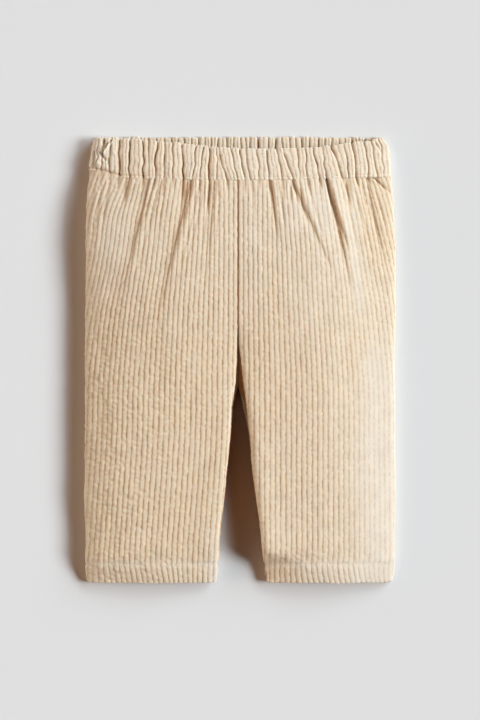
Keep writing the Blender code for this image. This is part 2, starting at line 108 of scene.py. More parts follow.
# Folds that run down from the casing. left and right are how far each side of the fold reaches,
# so a short one is a steep side. takes_in is the cloth that the fold swallows at its top, and roll
# the height of the round of cloth that stands up on its wearer's-left side.
FOLDS = (
    # x_top, y_top, x_low, y_low, depth, left, right, takes_in, roll
    (-88, 146, -92, 108, 0.8, 2.4, 2.4, 5, 0.2),
    (-68.6, 146, -94, 40, 1.2, 9, 1.8, 5, 0.9),
    (-59.3, 146, -68, 112, 0.9, 3, 1.6, 3, 0.5),
    (-36.7, 146, -66, 24, 1.4, 9, 1.9, 6, 1),
    (-44.5, 146, -46, 108, 0.9, 3, 2, 2.5, 0.2),
    (-19.5, 146, -27, 44, 0.9, 6, 2.2, 5, 0.7),
    (22.5, 146, 31, 84, 0.8, 2.6, 1.8, 5, 0.5),
    (38, 146, 80, 50, 1.2, 4.5, 2.4, 5, 1),
    (66.5, 148, 90, 40, 1.6, 3.4, 2.2, 6.5, 1.8),
    (82, 146, 87, 112, 0.9, 2.4, 2, 2.5, 0.2),
    (97.5, 146, 116, 58, 0.8, 3.4, 2.4, 8, 0.4),
)
# Shallower creases, which take in no cloth. A depth below 0 is a ridge.
CREASES = (
    # x_top, y_top, x_low, y_low, depth, left, right
    (-113, 136, -118, 104, 0.9, 1.6, 1.2),
    (-107.5, 137, -115, 88, 0.8, 1.7, 1.3),
    (-101.5, 138, -108, 98, 0.7, 1.7, 1.3),
    (-95, 60, -101, -10, 0.5, 8, 5),
    (-66, 141, -76, 104, 1.2, 1.5, 1.1),
    (-64, 130, -83, 58, 0.5, 1.5, 1.2),
    (-57, 138, -70, 70, 0.4, 1.4, 1.2),
    (-41, 141, -44, 122, 1.2, 1.5, 1.2),
    (-36, 141, -46, 96, 1.3, 1.6, 1.1),
    (-31, 139, -51, 52, 0.6, 1.6, 1.2),
    (-27, 138, -45, 60, 0.5, 1.5, 1.1),
    (-22.5, 141, -26, 112, 1.2, 1.4, 1.1),
    (-24, 130, -31, 78, 0.6, 1.4, 1.1),
    (-15, 138, -20, 84, 0.6, 1.5, 1.2),
    (-60, 60, -70, -20, 0.5, 9, 5),
    (10, 139, 12, 100, 0.5, 1.3, 1.3),
    (24.5, 141, 29, 94, 1.3, 1.4, 1.1),
    (29, 141, 36, 98, 1, 1.3, 1.1),
    (38.7, 138, 39, 120, 1.2, 1.2, 1.1),
    (42.5, 137, 46, 118, 1.1, 1.2, 1),
    (46.4, 136, 52, 104, 1.2, 1.3, 1.1),
    (52, 138, 70, 76, 0.6, 1.5, 1.2),
    (66, 144, 84.5, 84, 3, 1.5, 1.2),
    (70, 128, 84, 76, 0.8, 1.6, 1.2),
    (78, 139, 95, 76, 0.7, 1.5, 1.2),
    (82, 140, 86, 116, 1.1, 1.4, 1.2),
    (88, 134, 104, 80, 0.7, 1.5, 1.2),
    (94, 140, 99, 112, 0.9, 1.4, 1.2),
    (99, 147, 119.5, 128, 2.4, 1.3, 1.1),
    (98, 130, 112, 84, 0.7, 1.5, 1.2),
    (106, 130, 116, 96, 0.8, 1.4, 1.2),
    (24, 70, 40, -30, 0.4, 7, 6),
    (90, 40, 84, -60, 0.5, 8, 9),
)

# Gathers of the casing: where each crease meets the top edge and the seam, how deep it is, how
# far its tail runs down into the front, and the shares of the casing's rise between which it runs
FRONT_GATHERS = (
    # x_top, x_seam, depth, tail, low, high
    (-113, -114.5, 0.9, 5, 0, 0.7),
    (-107, -108, 0.9, 6, 0, 1),
    (-100.9, -100.9, 1.1, 8, 0, 1),
    (-94.4, -93.8, 1.5, 9, 0, 1),
    (-86, -85.8, 2, 20, 0, 1),
    (-75.9, -75, 1.9, 11, 0, 1),
    (-71, -70.6, 0.9, 3, 0.55, 1),
    (-64, -65.8, 1.6, 9, 0, 1),
    (-58.7, -59, 1.2, 16, 0, 0.9),
    (-52.3, -52.3, 0.9, 7, 0, 1),
    (-45.4, -43.7, 2, 18, 0, 1),
    (-34.4, -37.4, 1.2, 14, 0, 1),
    (-28.4, -31.4, 1.3, 11, 0.15, 1),
    (-23.8, -24, 1.8, 22, 0, 1),
    (-18.4, -18.4, 0.8, 18, 0, 0.8),
    (-16.5, -10.1, 1.6, 9, 0, 0.75),
    (-7, -1.7, 0.9, 7, 0, 1),
    (-0.5, 3.7, 1.1, 14, 0, 1),
    (4.6, 8.2, 0.8, 10, 0, 1),
    (12.5, 14.6, 0.9, 8, 0, 1),
    (20.8, 22.6, 1.9, 16, 0, 1),
    (28.6, 32.8, 1.1, 19, 0, 1),
    (33.4, 41.3, 1.7, 13, 0, 0.75),
    (44.6, 46.4, 0.9, 12, 0.5, 1),
    (50.7, 52.3, 1.3, 12, 0, 1),
    (57, 61.8, 1.8, 9, 0, 0.9),
    (64.4, 67.2, 1.8, 26, 0, 0.6),
    (71, 79.6, 1.7, 11, 0, 1),
    (81, 84.4, 0.9, 15, 0, 0.8),
    (87.6, 90.3, 1.8, 9, 0, 1),
    (97.5, 99.6, 1.8, 7, 0, 1),
    (103.7, 107, 0.9, 5, 0, 0.9),
    (111, 112.5, 0.5, 4, 0, 1),
)
# The crumpled end of the casing. A depth below 0 is a ridge.
CRUMPLES = (
    # x0, y0, x1, y1, depth, half width
    (-107.5, 172, -105.5, 165.5, 3, 1.5),
    (-100.5, 170.5, -106, 161, -2.4, 1),
    (-103, 169.5, -108, 160, 2, 0.7),
    (-109, 162, -104.5, 155.5, 2.8, 1),
    (-111.5, 158, -110, 150.5, -1, 1.2),
    (-114.6, 163, -113.6, 150, 2, 0.8),
    (-99.8, 171.5, -98, 160, -1, 1.2),
    (-96, 171.5, -95.4, 164, 1.2, 0.8),
    (-113, 155, -107, 151.5, -1, 1.1),
    (-103, 158, -101, 150, 1.2, 0.9),
    (107, 169.5, 110, 162, 1, 0.9),
)
BACK_CRUMPLES = (
    (98, 170.8, 107, 170.4, 4, 1.6),
    (87, 171.2, 92, 171, 1.2, 1),
    (103, 173, 104, 168, 1.2, 0.8),
)
BACK_GATHERS = (
    # x, depth
    (-104, 0.8), (-98.5, 1.2), (-91, 1), (-85.6, 1.4), (-78, 0.9), (-72, 1.3),
    (-65.5, 1.1), (-59.5, 0.9), (-53.8, 1.3), (-48.6, 0.9), (-43.7, 1.4), (-38, 0.8),
    (-32.4, 2), (-27.6, 0.8), (-22.6, 2), (-17.2, 1.2), (-10.4, 1.4), (-5, 0.8),
    (0.4, 1.3), (4.2, 1.1), (7.8, 1), (14, 2), (22.2, 1.3), (28.1, 1.9), (32.6, 1.1),
    (38.8, 1.2), (43.4, 0.8), (48.2, 2), (54.2, 1.2), (61.4, 2.1), (66.5, 1.2), (72, 1.3),
    (77.5, 0.9), (82.4, 1.1), (87.9, 1.6), (93.5, 1), (99.1, 1.8), (105, 1.9),
)


# ------------------------------ shapes of the cloth


def eased(at, low, high):
    t = np.clip((np.asarray(at, float) - low) / (high - low), 0, 1)
    return t * t * (3 - 2 * t)


def faded(at, low, high):
    """1 up to low and 0 from high on."""
    return 1 - eased(at, low, high)


def bell(away, reach):
    """A soft bump, 1 at its middle."""
    return np.exp(-((away / reach) ** 2))


def mixed(first, second, share):
    return (1 - share) * np.asarray(first, float) + share * np.asarray(second, float)


def cell_value(i, j, seed):
    """A value from -1 to 1 that differs from cell to cell."""
    n = np.sin(i * 127.1 + j * 311.7 + seed * 74.7) * 43758.5453
    return 2 * (n - np.floor(n)) - 1


def wobble(u, v, seed):
    """Smooth unevenness from -1 to 1, with one bump or dip to the unit."""
    u, v = np.broadcast_arrays(np.asarray(u, float), np.asarray(v, float))
    i, j = np.floor(u), np.floor(v)
    f, g = eased(u - i, 0, 1), eased(v - j, 0, 1)
    low = mixed(cell_value(i, j, seed), cell_value(i + 1, j, seed), f)
    high = mixed(cell_value(i, j + 1, seed), cell_value(i + 1, j + 1, seed), f)
    return mixed(low, high, g)


def station(name, y):
    """A value of the cut at height y, eased between the stations."""
    ys = np.array([row[0] for row in STATIONS])
    values = np.array([row[STATION_COLUMNS.index(name)] for row in STATIONS])
    slopes = np.gradient(values, ys)
    y = float(np.clip(y, ys[0], ys[-1]))
    i = min(max(int(np.searchsorted(ys, y)) - 1, 0), len(ys) - 2)
    gap = ys[i + 1] - ys[i]
    t = (y - ys[i]) / gap
    smooth = (
        (2 * t**3 - 3 * t**2 + 1) * values[i]
        + (t**3 - 2 * t**2 + t) * gap * slopes[i]
        + (3 * t**2 - 2 * t**3) * values[i + 1]
        + (t**3 - t**2) * gap * slopes[i + 1]
    )
    return float(np.clip(smooth, min(values[i : i + 2]), max(values[i : i + 2])))


def leg_station(side, name, y):
    return station(f"{SIDES[side]}_{name}", y)


def inner_edges(side, y):
    """A leg's inner edge in each row of a panel's grid."""
    return np.array([leg_station(side, "inner", row) for row in y[:, 0]])[:, None]


def seam_height(y):
    """The side seams' and inseams' height, less where the hems are pressed down."""
    return min(SEAM_HEIGHT, station("edge_height", y) - 0.5 * SEAM_GAP)


def smooth_curve(points, samples=600):
    points = np.asarray(points, float)
    held = np.concatenate([points[:1], points[:1], points, points[-1:], points[-1:]])
    spans = len(held) - 3
    at = np.linspace(0, spans, samples)
    i = np.minimum(at.astype(int), spans - 1)
    f = (at - i)[:, None]
    return (
        (1 - f) ** 3 * held[i]
        + (3 * f**3 - 6 * f**2 + 4) * held[i + 1]
        + (-3 * f**3 + 3 * f**2 + 3 * f + 1) * held[i + 2]
        + f**3 * held[i + 3]
    ) / 6


def arc_lengths(curve):
    steps = np.linalg.norm(np.diff(curve, axis=0), axis=1)
    return np.concatenate([[0], np.cumsum(steps)])


def front_section(side, y, dip=1):
    """The front's section at height y: distance from the centre plane, and height."""
    out = leg_station(side, "out", y) - WALE_HEIGHT
    inner = leg_station(side, "inner", y)
    edge = leg_station(side, "edge", y) - SEAM_DRAWN * eased(y, 10, 30)
    crown = station("crown", y)
    inner_height = mixed(crown, station("inner_height", y), dip)
    outer_height = station("outer_height", y)
    if side > 0:
        crown *= 1 + 0.15 * faded(y, -176, -150)
        inner_height *= 1 + 0.14 * bell(y + 144, 13)
        inner_height *= 1 - 0.4 * faded(y, -162, -149)
        inner_height = max(inner_height, HEM_CORNER_HEIGHT)
    else:
        outer_height -= 1.3 * eased(y, -165, -140)
    seam = seam_height(y)
    low = mixed(crown, station("edge_height", y), dip)
    width = out - inner
    body = (
        (edge, low),
        (edge + 0.6, low + 0.5),
        (edge + 1.8, inner_height),
        (edge + 12, inner_height + 0.2),
    )
    leg = (
        (edge, low),
        (inner + 0.3, low + 2.2),
        (inner - 0.6, 0.97 * inner_height),
        (inner + 3.4, inner_height + 1.5),
    )
    first = mixed(body, leg, station("wall", y))
    rest = np.array((
        (inner + 0.28 * width, crown),
        (inner + 0.55 * width, crown),
        (inner + 0.78 * width, mixed(crown, outer_height, 0.45)),
        (out - 12, outer_height + 2.4),
        (out - 2.6, outer_height + 0.4),
        (out + 0.4, mixed(seam, outer_height, 0.55)),
        (out + 0.1, mixed(seam, outer_height, 0.2)),
        (out - 0.3, seam + SEAM_GAP / 2),
    ))
    return smooth_curve(np.concatenate([first, rest]))


def back_section(side, y):
    """The back's underside at height y, flat but for its edges, which turn up to the seams."""
    out = leg_station(side, "out", y) - WALE_HEIGHT
    edge = leg_station(side, "edge", y)
    lift = station("back_lift", y)
    seam = seam_height(y)
    body = ((0, lift), (1, lift), (4, 0.4 * lift), (7, 0), (9, 0))
    leg = ((0, lift), (0.1, 0.55 * lift), (1, 0.16 * lift), (3.4, 0), (8, 0))
    from_edge = mixed(body, leg, station("back_wall", y))
    rest = (
        (edge + 14, 0),
        (0.5 * (edge + out), 0),
        (out - 14, 0),
        (out - 8, 0),
        (out - 3.4, 0),
        (out - 0.8, 0.16 * seam),
        (out + 0.1, 0.55 * seam),
        (out - 0.3, seam - SEAM_GAP / 2),
    )
    return smooth_curve(np.concatenate([from_edge + (edge, 0), rest]))


def back_seam_line(x):
    """The casing's seam, lower in the middle than at the sides."""
    return CASING_Y + 3.4 * (x / CASING_HALF_WIDTH) ** 2


def seam_line(x):
    """The same at the front, where it also climbs to the wearer's right side seam."""
    return back_seam_line(x) + 5 * eased(-x, 88, 117)


TOP_EDGE = (
    # x, y
    (-118, 173.2), (-100, 173), (-86, 172.4), (-70, 171.2), (-50, 169),
    (-31, 166.8), (-14, 165.2), (0, 164.6), (20, 164.4), (40, 164.8), (63, 165.8),
    (76, 167.8), (88, 169.4), (103, 170.4), (108, 172.2), (118, 172.6),
)


def top_line(x):
    """The front casing's top edge, which dips in the middle and on to the wearer's left."""
    at, height = np.array(TOP_EDGE).T
    near = [np.interp(x + shift, at, height) for shift in (-4.5, -2, 0, 2, 4.5)]
    return np.mean(near, axis=0)


def back_top_line(x):
    return CASING_TOP_Y + 0.3 - 1.2 * towards_end(x, 8)


def towards_end(x, power):
    return (np.abs(x) / CASING_HALF_WIDTH) ** power


def trough(away, left, right):
    """A soft crease, 1 at its bottom, that reaches further on one side than on the other."""
    return bell(away, np.where(away < 0, left, right))


def crumple_depth(crumples, x, y):
    """How far the crumples push the casing down at a point."""
    total = 0.0
    for x0, y0, x1, y1, depth, width in crumples:
        long = np.hypot(x1 - x0, y1 - y0)
        along = ((x - x0) * (x1 - x0) + (y - y0) * (y1 - y0)) / long
        away = ((x - x0) * (y1 - y0) - (y - y0) * (x1 - x0)) / long
        fades = eased(along, -1, 1) * faded(along, long - 1, long + 1)
        total = total + depth * fades * bell(away, width)
    return total


def beside(fold, x, y):
    """What share of the way down a fold a point lies, and how far to the side of it."""
    x_top, y_top, x_low, y_low = fold[:4]
    along = (y_top - y) / (y_top - y_low)
    return along, x - mixed(x_top, x_low, np.clip(along, 0, 1))


def crease_depth(x, y):
    """How far the shallower creases push the front down at a point."""
    total = 0.0
    for crease in CREASES:
        depth, left, right = crease[4:]
        along, away = beside(crease, x, y)
        fades = eased(along, -0.1, 0.25) * faded(along, 0.5, 1.1)
        total = total + depth * fades * trough(away, left, right)
    return total


def fold_depth(x, y):
    """How far the folds and creases push the front down at a point."""
    total = crease_depth(x, y)
    for fold in FOLDS:
        depth, left, right, _, roll = fold[4:]
        along, away = beside(fold, x, y)
        narrow = 0.3 + 0.7 * eased(along, 0, 0.35)
        stands = roll * (0.5 + 0.5 * eased(along, 0.05, 0.35))
        sunk = depth * trough(away, narrow * left, narrow * right)
        sunk = sunk - stands * trough(away - 0.5 - 0.35 * right, 0.9, 6)
        total = total + faded(along, 0.35, 1) * sunk
    return total


def tail_depth(x, y):
    """The casing's gathers, where they run on down into the fronts."""
    total = 0.0
    for _, x_seam, depth, tail, low, _ in FRONT_GATHERS:
        if low > 0.2:
            continue
        below = seam_line(x_seam) - y
        away = x - x_seam * (1 + TAIL_LEAN * below / CASING_HALF_WIDTH)
        fades = faded(below, 0.15 * tail, 1.2 * tail)
        total = total + 1.1 * depth * fades * bell(away, 1.2)
    return total


# ------------------------------ wales

WALE_CROWN = 0.36  # how far a wale is rounded
WALE_CUT = 0.56  # how deep the cut between two wales is
WALE_WANDER = 0.27
WANDER_LENGTH = 2.2
BEAD_LENGTH = 3.9
BEAD_CUT = 0.70
BEAD_GAP = 0.95  # half as long as the notch between two beads
CUT_FILL = 0.55  # of the cut's depth, where it closes up between two beads
HEM_LINE = -159


def wandered(place, along, seed):
    """The place in the cut, with the small wander that a wale has along its length."""
    return place + WALE_WANDER * wobble(place / WALE_PITCH, along / WANDER_LENGTH, seed)


def wale_height(place, along, seed, bumpy=1):
    """The pile's height over the ground cloth, parted into beads along each wale."""
    phase = place / WALE_PITCH
    wale = np.floor(phase)
    away = 2 * np.abs(phase - wale - 0.5)
    at = along / BEAD_LENGTH + 3 * cell_value(wale, 0, seed)
    at = at + 0.45 * wobble(2 * wale, along / 7, seed + 5)
    bead = np.floor(at + 0.5)
    parted = bell((at - bead) * BEAD_LENGTH, BEAD_GAP)
    cut = BEAD_CUT * bumpy * (0.5 + 0.5 * cell_value(wale, bead, seed + 9)) * parted
    size = 1 + 0.16 * bumpy * cell_value(wale, np.floor(at), seed + 13)
    closed = CUT_FILL * np.maximum(wobble(3 * np.round(phase), along / 2.4, seed + 21), 0)
    body = WALE_CROWN * (1 - away**2) + WALE_CUT * (1 - away**5)
    return body * (size - cut) + WALE_CUT * closed * away**5


def grain(side, y, across, arc, start):
    """The place in the flat cut of points of a section at height y."""
    place = (arc - start + 3) * (1 + CUT_EASE * eased(y, -40, 100))
    place = place + leg_station(side, "inner", y) - side * CENTRE_X
    if side < 0:
        place = place - RIGHT_LEG_DRIFT * faded(y, -190, -30)
    for fold in FOLDS:
        if fold[0] * side > 0:
            along, away = beside(fold, side * across, y)
            along = np.clip(along, 0, 1)
            past = 0.5 * (1 + np.tanh(side * away / (0.25 + 3.75 * along**3)))
            place = place + fold[7] * (1 - along) * past
    return place


# ------------------------------ meshes


def grid_faces(rows, columns, start=0):
    """Four-sided faces of a grid of points, numbered row by row."""
    first = start + np.arange(rows - 1)[:, None] * columns + np.arange(columns - 1)[None, :]
    around = [first, first + 1, first + columns + 1, first + columns]
    return np.stack(around, axis=-1).reshape(-1, 4).tolist()


def stitched(first, second):
    """Triangles between two borders of points, each spread evenly from end to end."""
    faces = []
    i = j = 0
    a, b = len(first) - 1, len(second) - 1
    while i < a or j < b:
        if j == b or (i < a and (2 * i + 1) * b <= (2 * j + 1) * a):
            faces.append((first[i], first[i + 1], second[j]))
            i += 1
        else:
            faces.append((first[i], second[j + 1], second[j]))
            j += 1
    return faces


def borders(rows, columns, start):
    """The four borders of a grid, as point numbers."""
    number = start + np.arange(rows * columns).reshape(rows, columns)
    return [number[0].tolist(), number[-1].tolist(), number[:, 0].tolist(), number[:, -1].tolist()]


def put_in_scene(name, data):
    made = bpy.data.objects.new(name, data)
    bpy.context.scene.collection.objects.link(made)
    return made


def finished(name, points, faces, cut, inside_from, materials):
    """A mesh object. cut holds each point's place in the flat cut, as its UV map, and faces
    numbered from inside_from wear the second material."""
    mesh = bpy.data.meshes.new(name)
    mesh.from_pydata((MM * np.asarray(points, float)).tolist(), [], faces)
    layer = mesh.uv_layers.new(name="cut")
    corners = np.empty(len(mesh.loops), np.int32)
    mesh.loops.foreach_get("vertex_index", corners)
    layer.data.foreach_set("uv", (MM * np.asarray(cut, float))[corners].ravel())
    for material in materials:
        mesh.materials.append(material)
    slots = (np.arange(len(faces)) >= inside_from).astype(np.int32)
    if len(materials) > 1:
        mesh.polygons.foreach_set("material_index", slots)
    work = bmesh.new()
    work.from_mesh(mesh)
    bmesh.ops.recalc_face_normals(work, faces=work.faces)
    if work.calc_volume(signed=True) < 0:
        bmesh.ops.reverse_faces(work, faces=work.faces)
    work.to_mesh(mesh)
    work.free()
    mesh.shade_smooth()
    return put_in_scene(name, mesh)


def cloth_wall(name, outer, inner, outer_cut, inner_cut, materials):
    """A closed wall from two grids of points, the inner one sparser."""
    rows, columns = outer.shape[:2]
    few_rows, few_columns = inner.shape[:2]
    start = rows * columns
    faces = grid_faces(rows, columns)
    inside_from = len(faces)
    faces += grid_faces(few_rows, few_columns, start)
    for near, far in zip(borders(rows, columns, 0), borders(few_rows, few_columns, start)):
        faces += stitched(near, far)
    points = np.concatenate([outer.reshape(-1, 3), inner.reshape(-1, 3)])
    cut = np.concatenate([outer_cut.reshape(-1, 2), inner_cut.reshape(-1, 2)])
    return finished(name, points, faces, cut, inside_from, materials)


def upward(grid, side):
    """The way up from each point of a grid whose rows climb the garment."""
    out = np.cross(side * np.gradient(grid, axis=1), np.gradient(grid, axis=0))
    return out / np.linalg.norm(out, axis=2)[:, :, None]


# ------------------------------ the panels

FRONT_COLUMNS = 321
FRONT_ROW_STEP = 1.09
HEM_ROUND = 0.9
HEM_BAND = 2.8  # half the height of the strip that the hem's stitches hold down
HEM_PINCH = 1.1
FORK_FALL = 5.5  # how far the cloth between the legs falls into the fork
HEM_CORNER = 5.5  # how wide the hems' rounded corners are
HEM_LEAN = {1: 0.16, -1: 0.2}  # of the wales below the hem's stitches, by side
PANEL_TOP = CASING_Y - 0.02
BACK_COLUMNS = 331
BACK_ROW_STEP = 4.5
BACK_CUT = 0.5
TURN_UP_ROWS = 9
TURN_UP_COLUMNS = 166


def panel_grid(section, side, heights, columns):
    """A panel's points before wales and folds, with the place in the cut of each."""
    line = seam_line if section is front_section else back_seam_line
    grid = []
    places = []
    ends = []
    for y in heights:
        curve = section(side, y)
        arc = arc_lengths(curve)
        wanted = np.linspace(0, arc[-1], columns)
        rest = arc[-1] - wanted
        across, height = (np.interp(wanted, arc, curve[:, k]) for k in (0, 1))
        x = side * across
        risen = y + (line(x) - CASING_Y) * eased(y, 80, CASING_Y)
        near = 1 - np.minimum(np.minimum(wanted, rest) / HEM_CORNER, 1)
        risen = risen + 0.4 * HEM_CORNER * near**2 * faded(y, -HALF_LENGTH, -155)
        grid.append(np.stack([x, risen, height], axis=1))
        start = arc[int(np.argmax(curve[:, 0] > leg_station(side, "inner", y) + 3))]
        places.append(grain(side, y, across, wanted, start))
        ends.append(np.minimum(wanted / (3 - 2.2 * eased(y, 0, 40)), rest / 2))
    return np.array(grid), np.array(places), np.clip(ends, 0, 1)


def thinned(count, step):
    """Every step-th of a count of rows or columns, and the last."""
    return np.append(np.arange(0, count - 1, step), count - 1)


def stitch_path(row, up, window, proud):
    """Where a row of stitches lies: over a row of points with its wales smoothed away."""
    share = np.ones(window) / window
    padded = np.concatenate([row[:1]] * (window // 2) + [row] + [row[-1:]] * (window // 2))
    path = np.stack([np.convolve(padded[:, k], share, "valid") for k in range(3)], axis=1)
    return path + proud * up, up


def set_nap_painted_light_and_shade(made, *parts):
    """The value at each point that the corduroy's colour follows, kept in the nap attribute: -1 is
    painted shade, darker and browner; 1 is paler, partly where the nap lies flat and partly
    painted light.
    """
    values = np.concatenate([np.asarray(part, float).ravel() for part in parts])
    layer = made.data.attributes.new("nap", "FLOAT", "POINT")
    layer.data.foreach_set("value", values.astype(np.float32))


def walls_between(side, grid, y):
    """1 on the walls between the legs and at the centre seam, where shade is painted into the
    colour.
    """
    inner = inner_edges(side, y)
    top = np.array([station("inner_height", row) for row in y[:, 0]])[:, None]
    low = faded(grid[:, :, 2], 0.8 * top, top)
    near = faded(side * grid[:, :, 0], inner + 0.4, inner + 2)
    legs = low * near * faded(y, 60, 90) * (0.45 + 0.55 * eased(y, -168, -140))
    from_seam = side * (grid[:, :, 0] - CENTRE_X)
    seam = faded(from_seam, 0.2, 1.1 + 0.5 * faded(y, 20, 70))
    return np.maximum(legs, seam * eased(y, -15, 15))


def creased(x, y):
    """How much shade is painted into a point by the folds and creases, from 0 to 0.75: more the
    further down in one it lies.
    """
    total = 0.38 * crease_depth(x, y) + 0.3 * tail_depth(x, y)
    for fold in FOLDS:
        depth, left, right = fold[4:7]
        along, away = beside(fold, x, y)
        narrow = 0.4 + 0.6 * eased(along, 0, 0.35)
        dark = 0.22 * trough(away, 0.6 * narrow * left, narrow * right)
        dark = dark + 0.42 * trough(away - 0.2, 0.8, 0.6)
        total = total + depth * faded(along, 0.3, 1) * dark
    return np.clip(total, 0, 0.75)


def pressed(x, y):
    """The share of their height that the wales keep: less where the cloth is drawn taut."""
    outer = 0.62 * eased(x, 72, 108) * faded(y, -20, 50)
    hip = 0.25 * bell(x + 98 - 0.12 * (y - 80), 12) * bell(y - 88, 42)
    crown = 0.3 * bell(x - 62, 10) * bell(y - 118, 26)
    ridge = 0.5 * bell(x - 97 + 0.09 * y, 6) * eased(y, 10, 50) * faded(y, 112, 130)
    left = 0.16 * eased(x, 0, 50) * faded(y, 40, 100)
    return 1 - outer - hip - crown - ridge - left + 0.12 * wobble(x / 17, y / 23, 71)


def filled(side, x, y):
    """How much fuller than a plain arch the cloth stands near a leg's two edges."""
    across = side * x
    legs = faded(y, -70, 10) * eased(y, -172, -150)
    hips = eased(y, 30, 100)
    inner = bell(across - 5.5 + 0.107 * y, 9) * legs
    if side > 0:
        inner = inner * eased(y, -162, -146)
        middle = bell(across - 5, 8) * eased(y, 15, 60)
        return 1.2 * bell(across - 98, 20) * (legs - hips) + 2.2 * inner + 0.5 * middle
    full = 3.8 * legs + 4.6 * hips * (1 - 0.7 * eased(y, 110, 140))
    between = 2.6 * faded(y, 30, 100) * eased(y, -70, 10)
    outer = bell(across - 107 - 4 * hips, 23) * (full + between)
    return outer + 2 * inner * eased(y, -120, -70)


def fork_depth(side, x, y):
    """How far the cloth between the legs falls into the fork, below their rounds."""
    inner = inner_edges(side, y)
    falls = eased(y, -62, -40) * faded(y, -38, -8)
    return FORK_FALL * falls * faded(side * x, inner - 0.4, inner + 1.2)


def hem_band(y):
    """1 on the strip of wales that the hem's stitches hold down."""
    return np.exp(-(((y - HEM_LINE) / HEM_BAND) ** 4))


def front_pile(side, places, x, y):
    """The wales' height over a front, lower in the hem's stitched strip and at the casing."""
    bumpy = 1 + 0.7 * eased(-x, 20, 85) * faded(y, 0, 70)
    pile = wale_height(places, y, 11 if side > 0 else 17, bumpy) * pressed(x, y)
    return pile * (0.8 + 0.2 * eased(PANEL_TOP - y, 0, 2)) * (1 - 0.35 * hem_band(y))


def front_dents(x, y, risen):
    """How far a front lies below its plain form: folds, stitched hem, puckers and edges."""
    sunk = fold_depth(x, risen) + tail_depth(x, risen)
    sunk = sunk + 1.7 * eased(-x, 107, 118) * eased(risen, 124, 147)
    pinch = bell(y - HEM_LINE, HEM_PINCH) * (0.55 + 0.25 * wobble(x / 2.9, y / 9, 23))
    pinch = pinch + 0.1 * bell(PANEL_TOP - y, 1)
    puckers = 0.3 * wobble(x / 3.4, y / 3, 29) + 0.3 * wobble(x / 8, y / 5, 30)
    puckers = puckers * bell(y - HEM_LINE - 4, 6)
    soft = 0.55 * wobble(x / 21, y / 34, 31) + 0.25 * wobble(x / 9, y / 13, 37)
    from_edge = np.clip((y + HALF_LENGTH) / HEM_ROUND, 0, 1)
    edge = HEM_ROUND * (1 - np.sqrt(1 - (1 - from_edge) ** 2))
    dips = 0.6 - 0.4 * eased(-x, 85, 110)
    edge = edge + dips * eased(y, PANEL_TOP - 0.1, PANEL_TOP + 0.7)
    return sunk + pinch - puckers + edge - soft


def front_nap_painted_light_and_shade(side, grid, y):
    """Light and shade painted into a front's colour, and where its nap lies flat, from -1 to 1."""
    x, risen = grid[:, :, 0], grid[:, :, 1]
    # Paler where the wales are pressed flat. The rest of the paling is painted light: towards the
    # wearer's left, which faces the key lamp, on the hips, along the hem and beside the centre
    # seam.
    flat = np.clip(1.1 * (1 - pressed(x, y)) + 0.15 * eased(x, -10, 100), 0, 1)
    flat = flat + 0.38 * eased(y, -10, 110) * (1 - 1.3 * eased(x, 75, 105))
    flat = flat + 0.08 * eased(y, 30, 90) * eased(-x, 88, 104)
    flat = flat - 0.5 * bell(x - 30, 13) * faded(y, -158, -138)
    flat = flat + (0.35 if side > 0 else 0.2) * faded(y, HEM_LINE - 4, HEM_LINE + 10)
    flat = flat + 0.4 * hem_band(y) + 0.25 * bell(x - 10, 9) * eased(y, 20, 60)
    if side < 0:
        flat = flat + 0.6 * bell(x + 21, 6) * faded(y, -155, -115)
    flat = flat + 0.35 * bell(x - 45, 17) * bell(y - 118, 24)
    # Painted shade, darker and browner: on the walls between the legs, at the centre seam, in the
    # folds and creases, and a little on the wearer's left outer edge to tone down its light.
    deep = np.maximum(walls_between(side, grid, y), creased(x, risen))
    deep = np.maximum(deep, 0.12 * eased(x, 117, 120))
    return np.clip(mixed(flat, -1, deep), -1, 1)


def panel_wall(name, outer, inner, places, y, nap, steps, materials):
    """A panel's closed wall. Its inner skin has one row and column to steps of the outer's."""
    pick = np.ix_(*(thinned(count, step) for count, step in zip(places.shape, steps)))
    inner[:, [0, -1], 2] = outer[:, [0, -1], 2]
    cut = np.stack([places, y], axis=2)
    made = cloth_wall(name, outer, inner[pick], cut, cut[pick], materials)
    set_nap_painted_light_and_shade(made, nap, nap[pick])
    return made


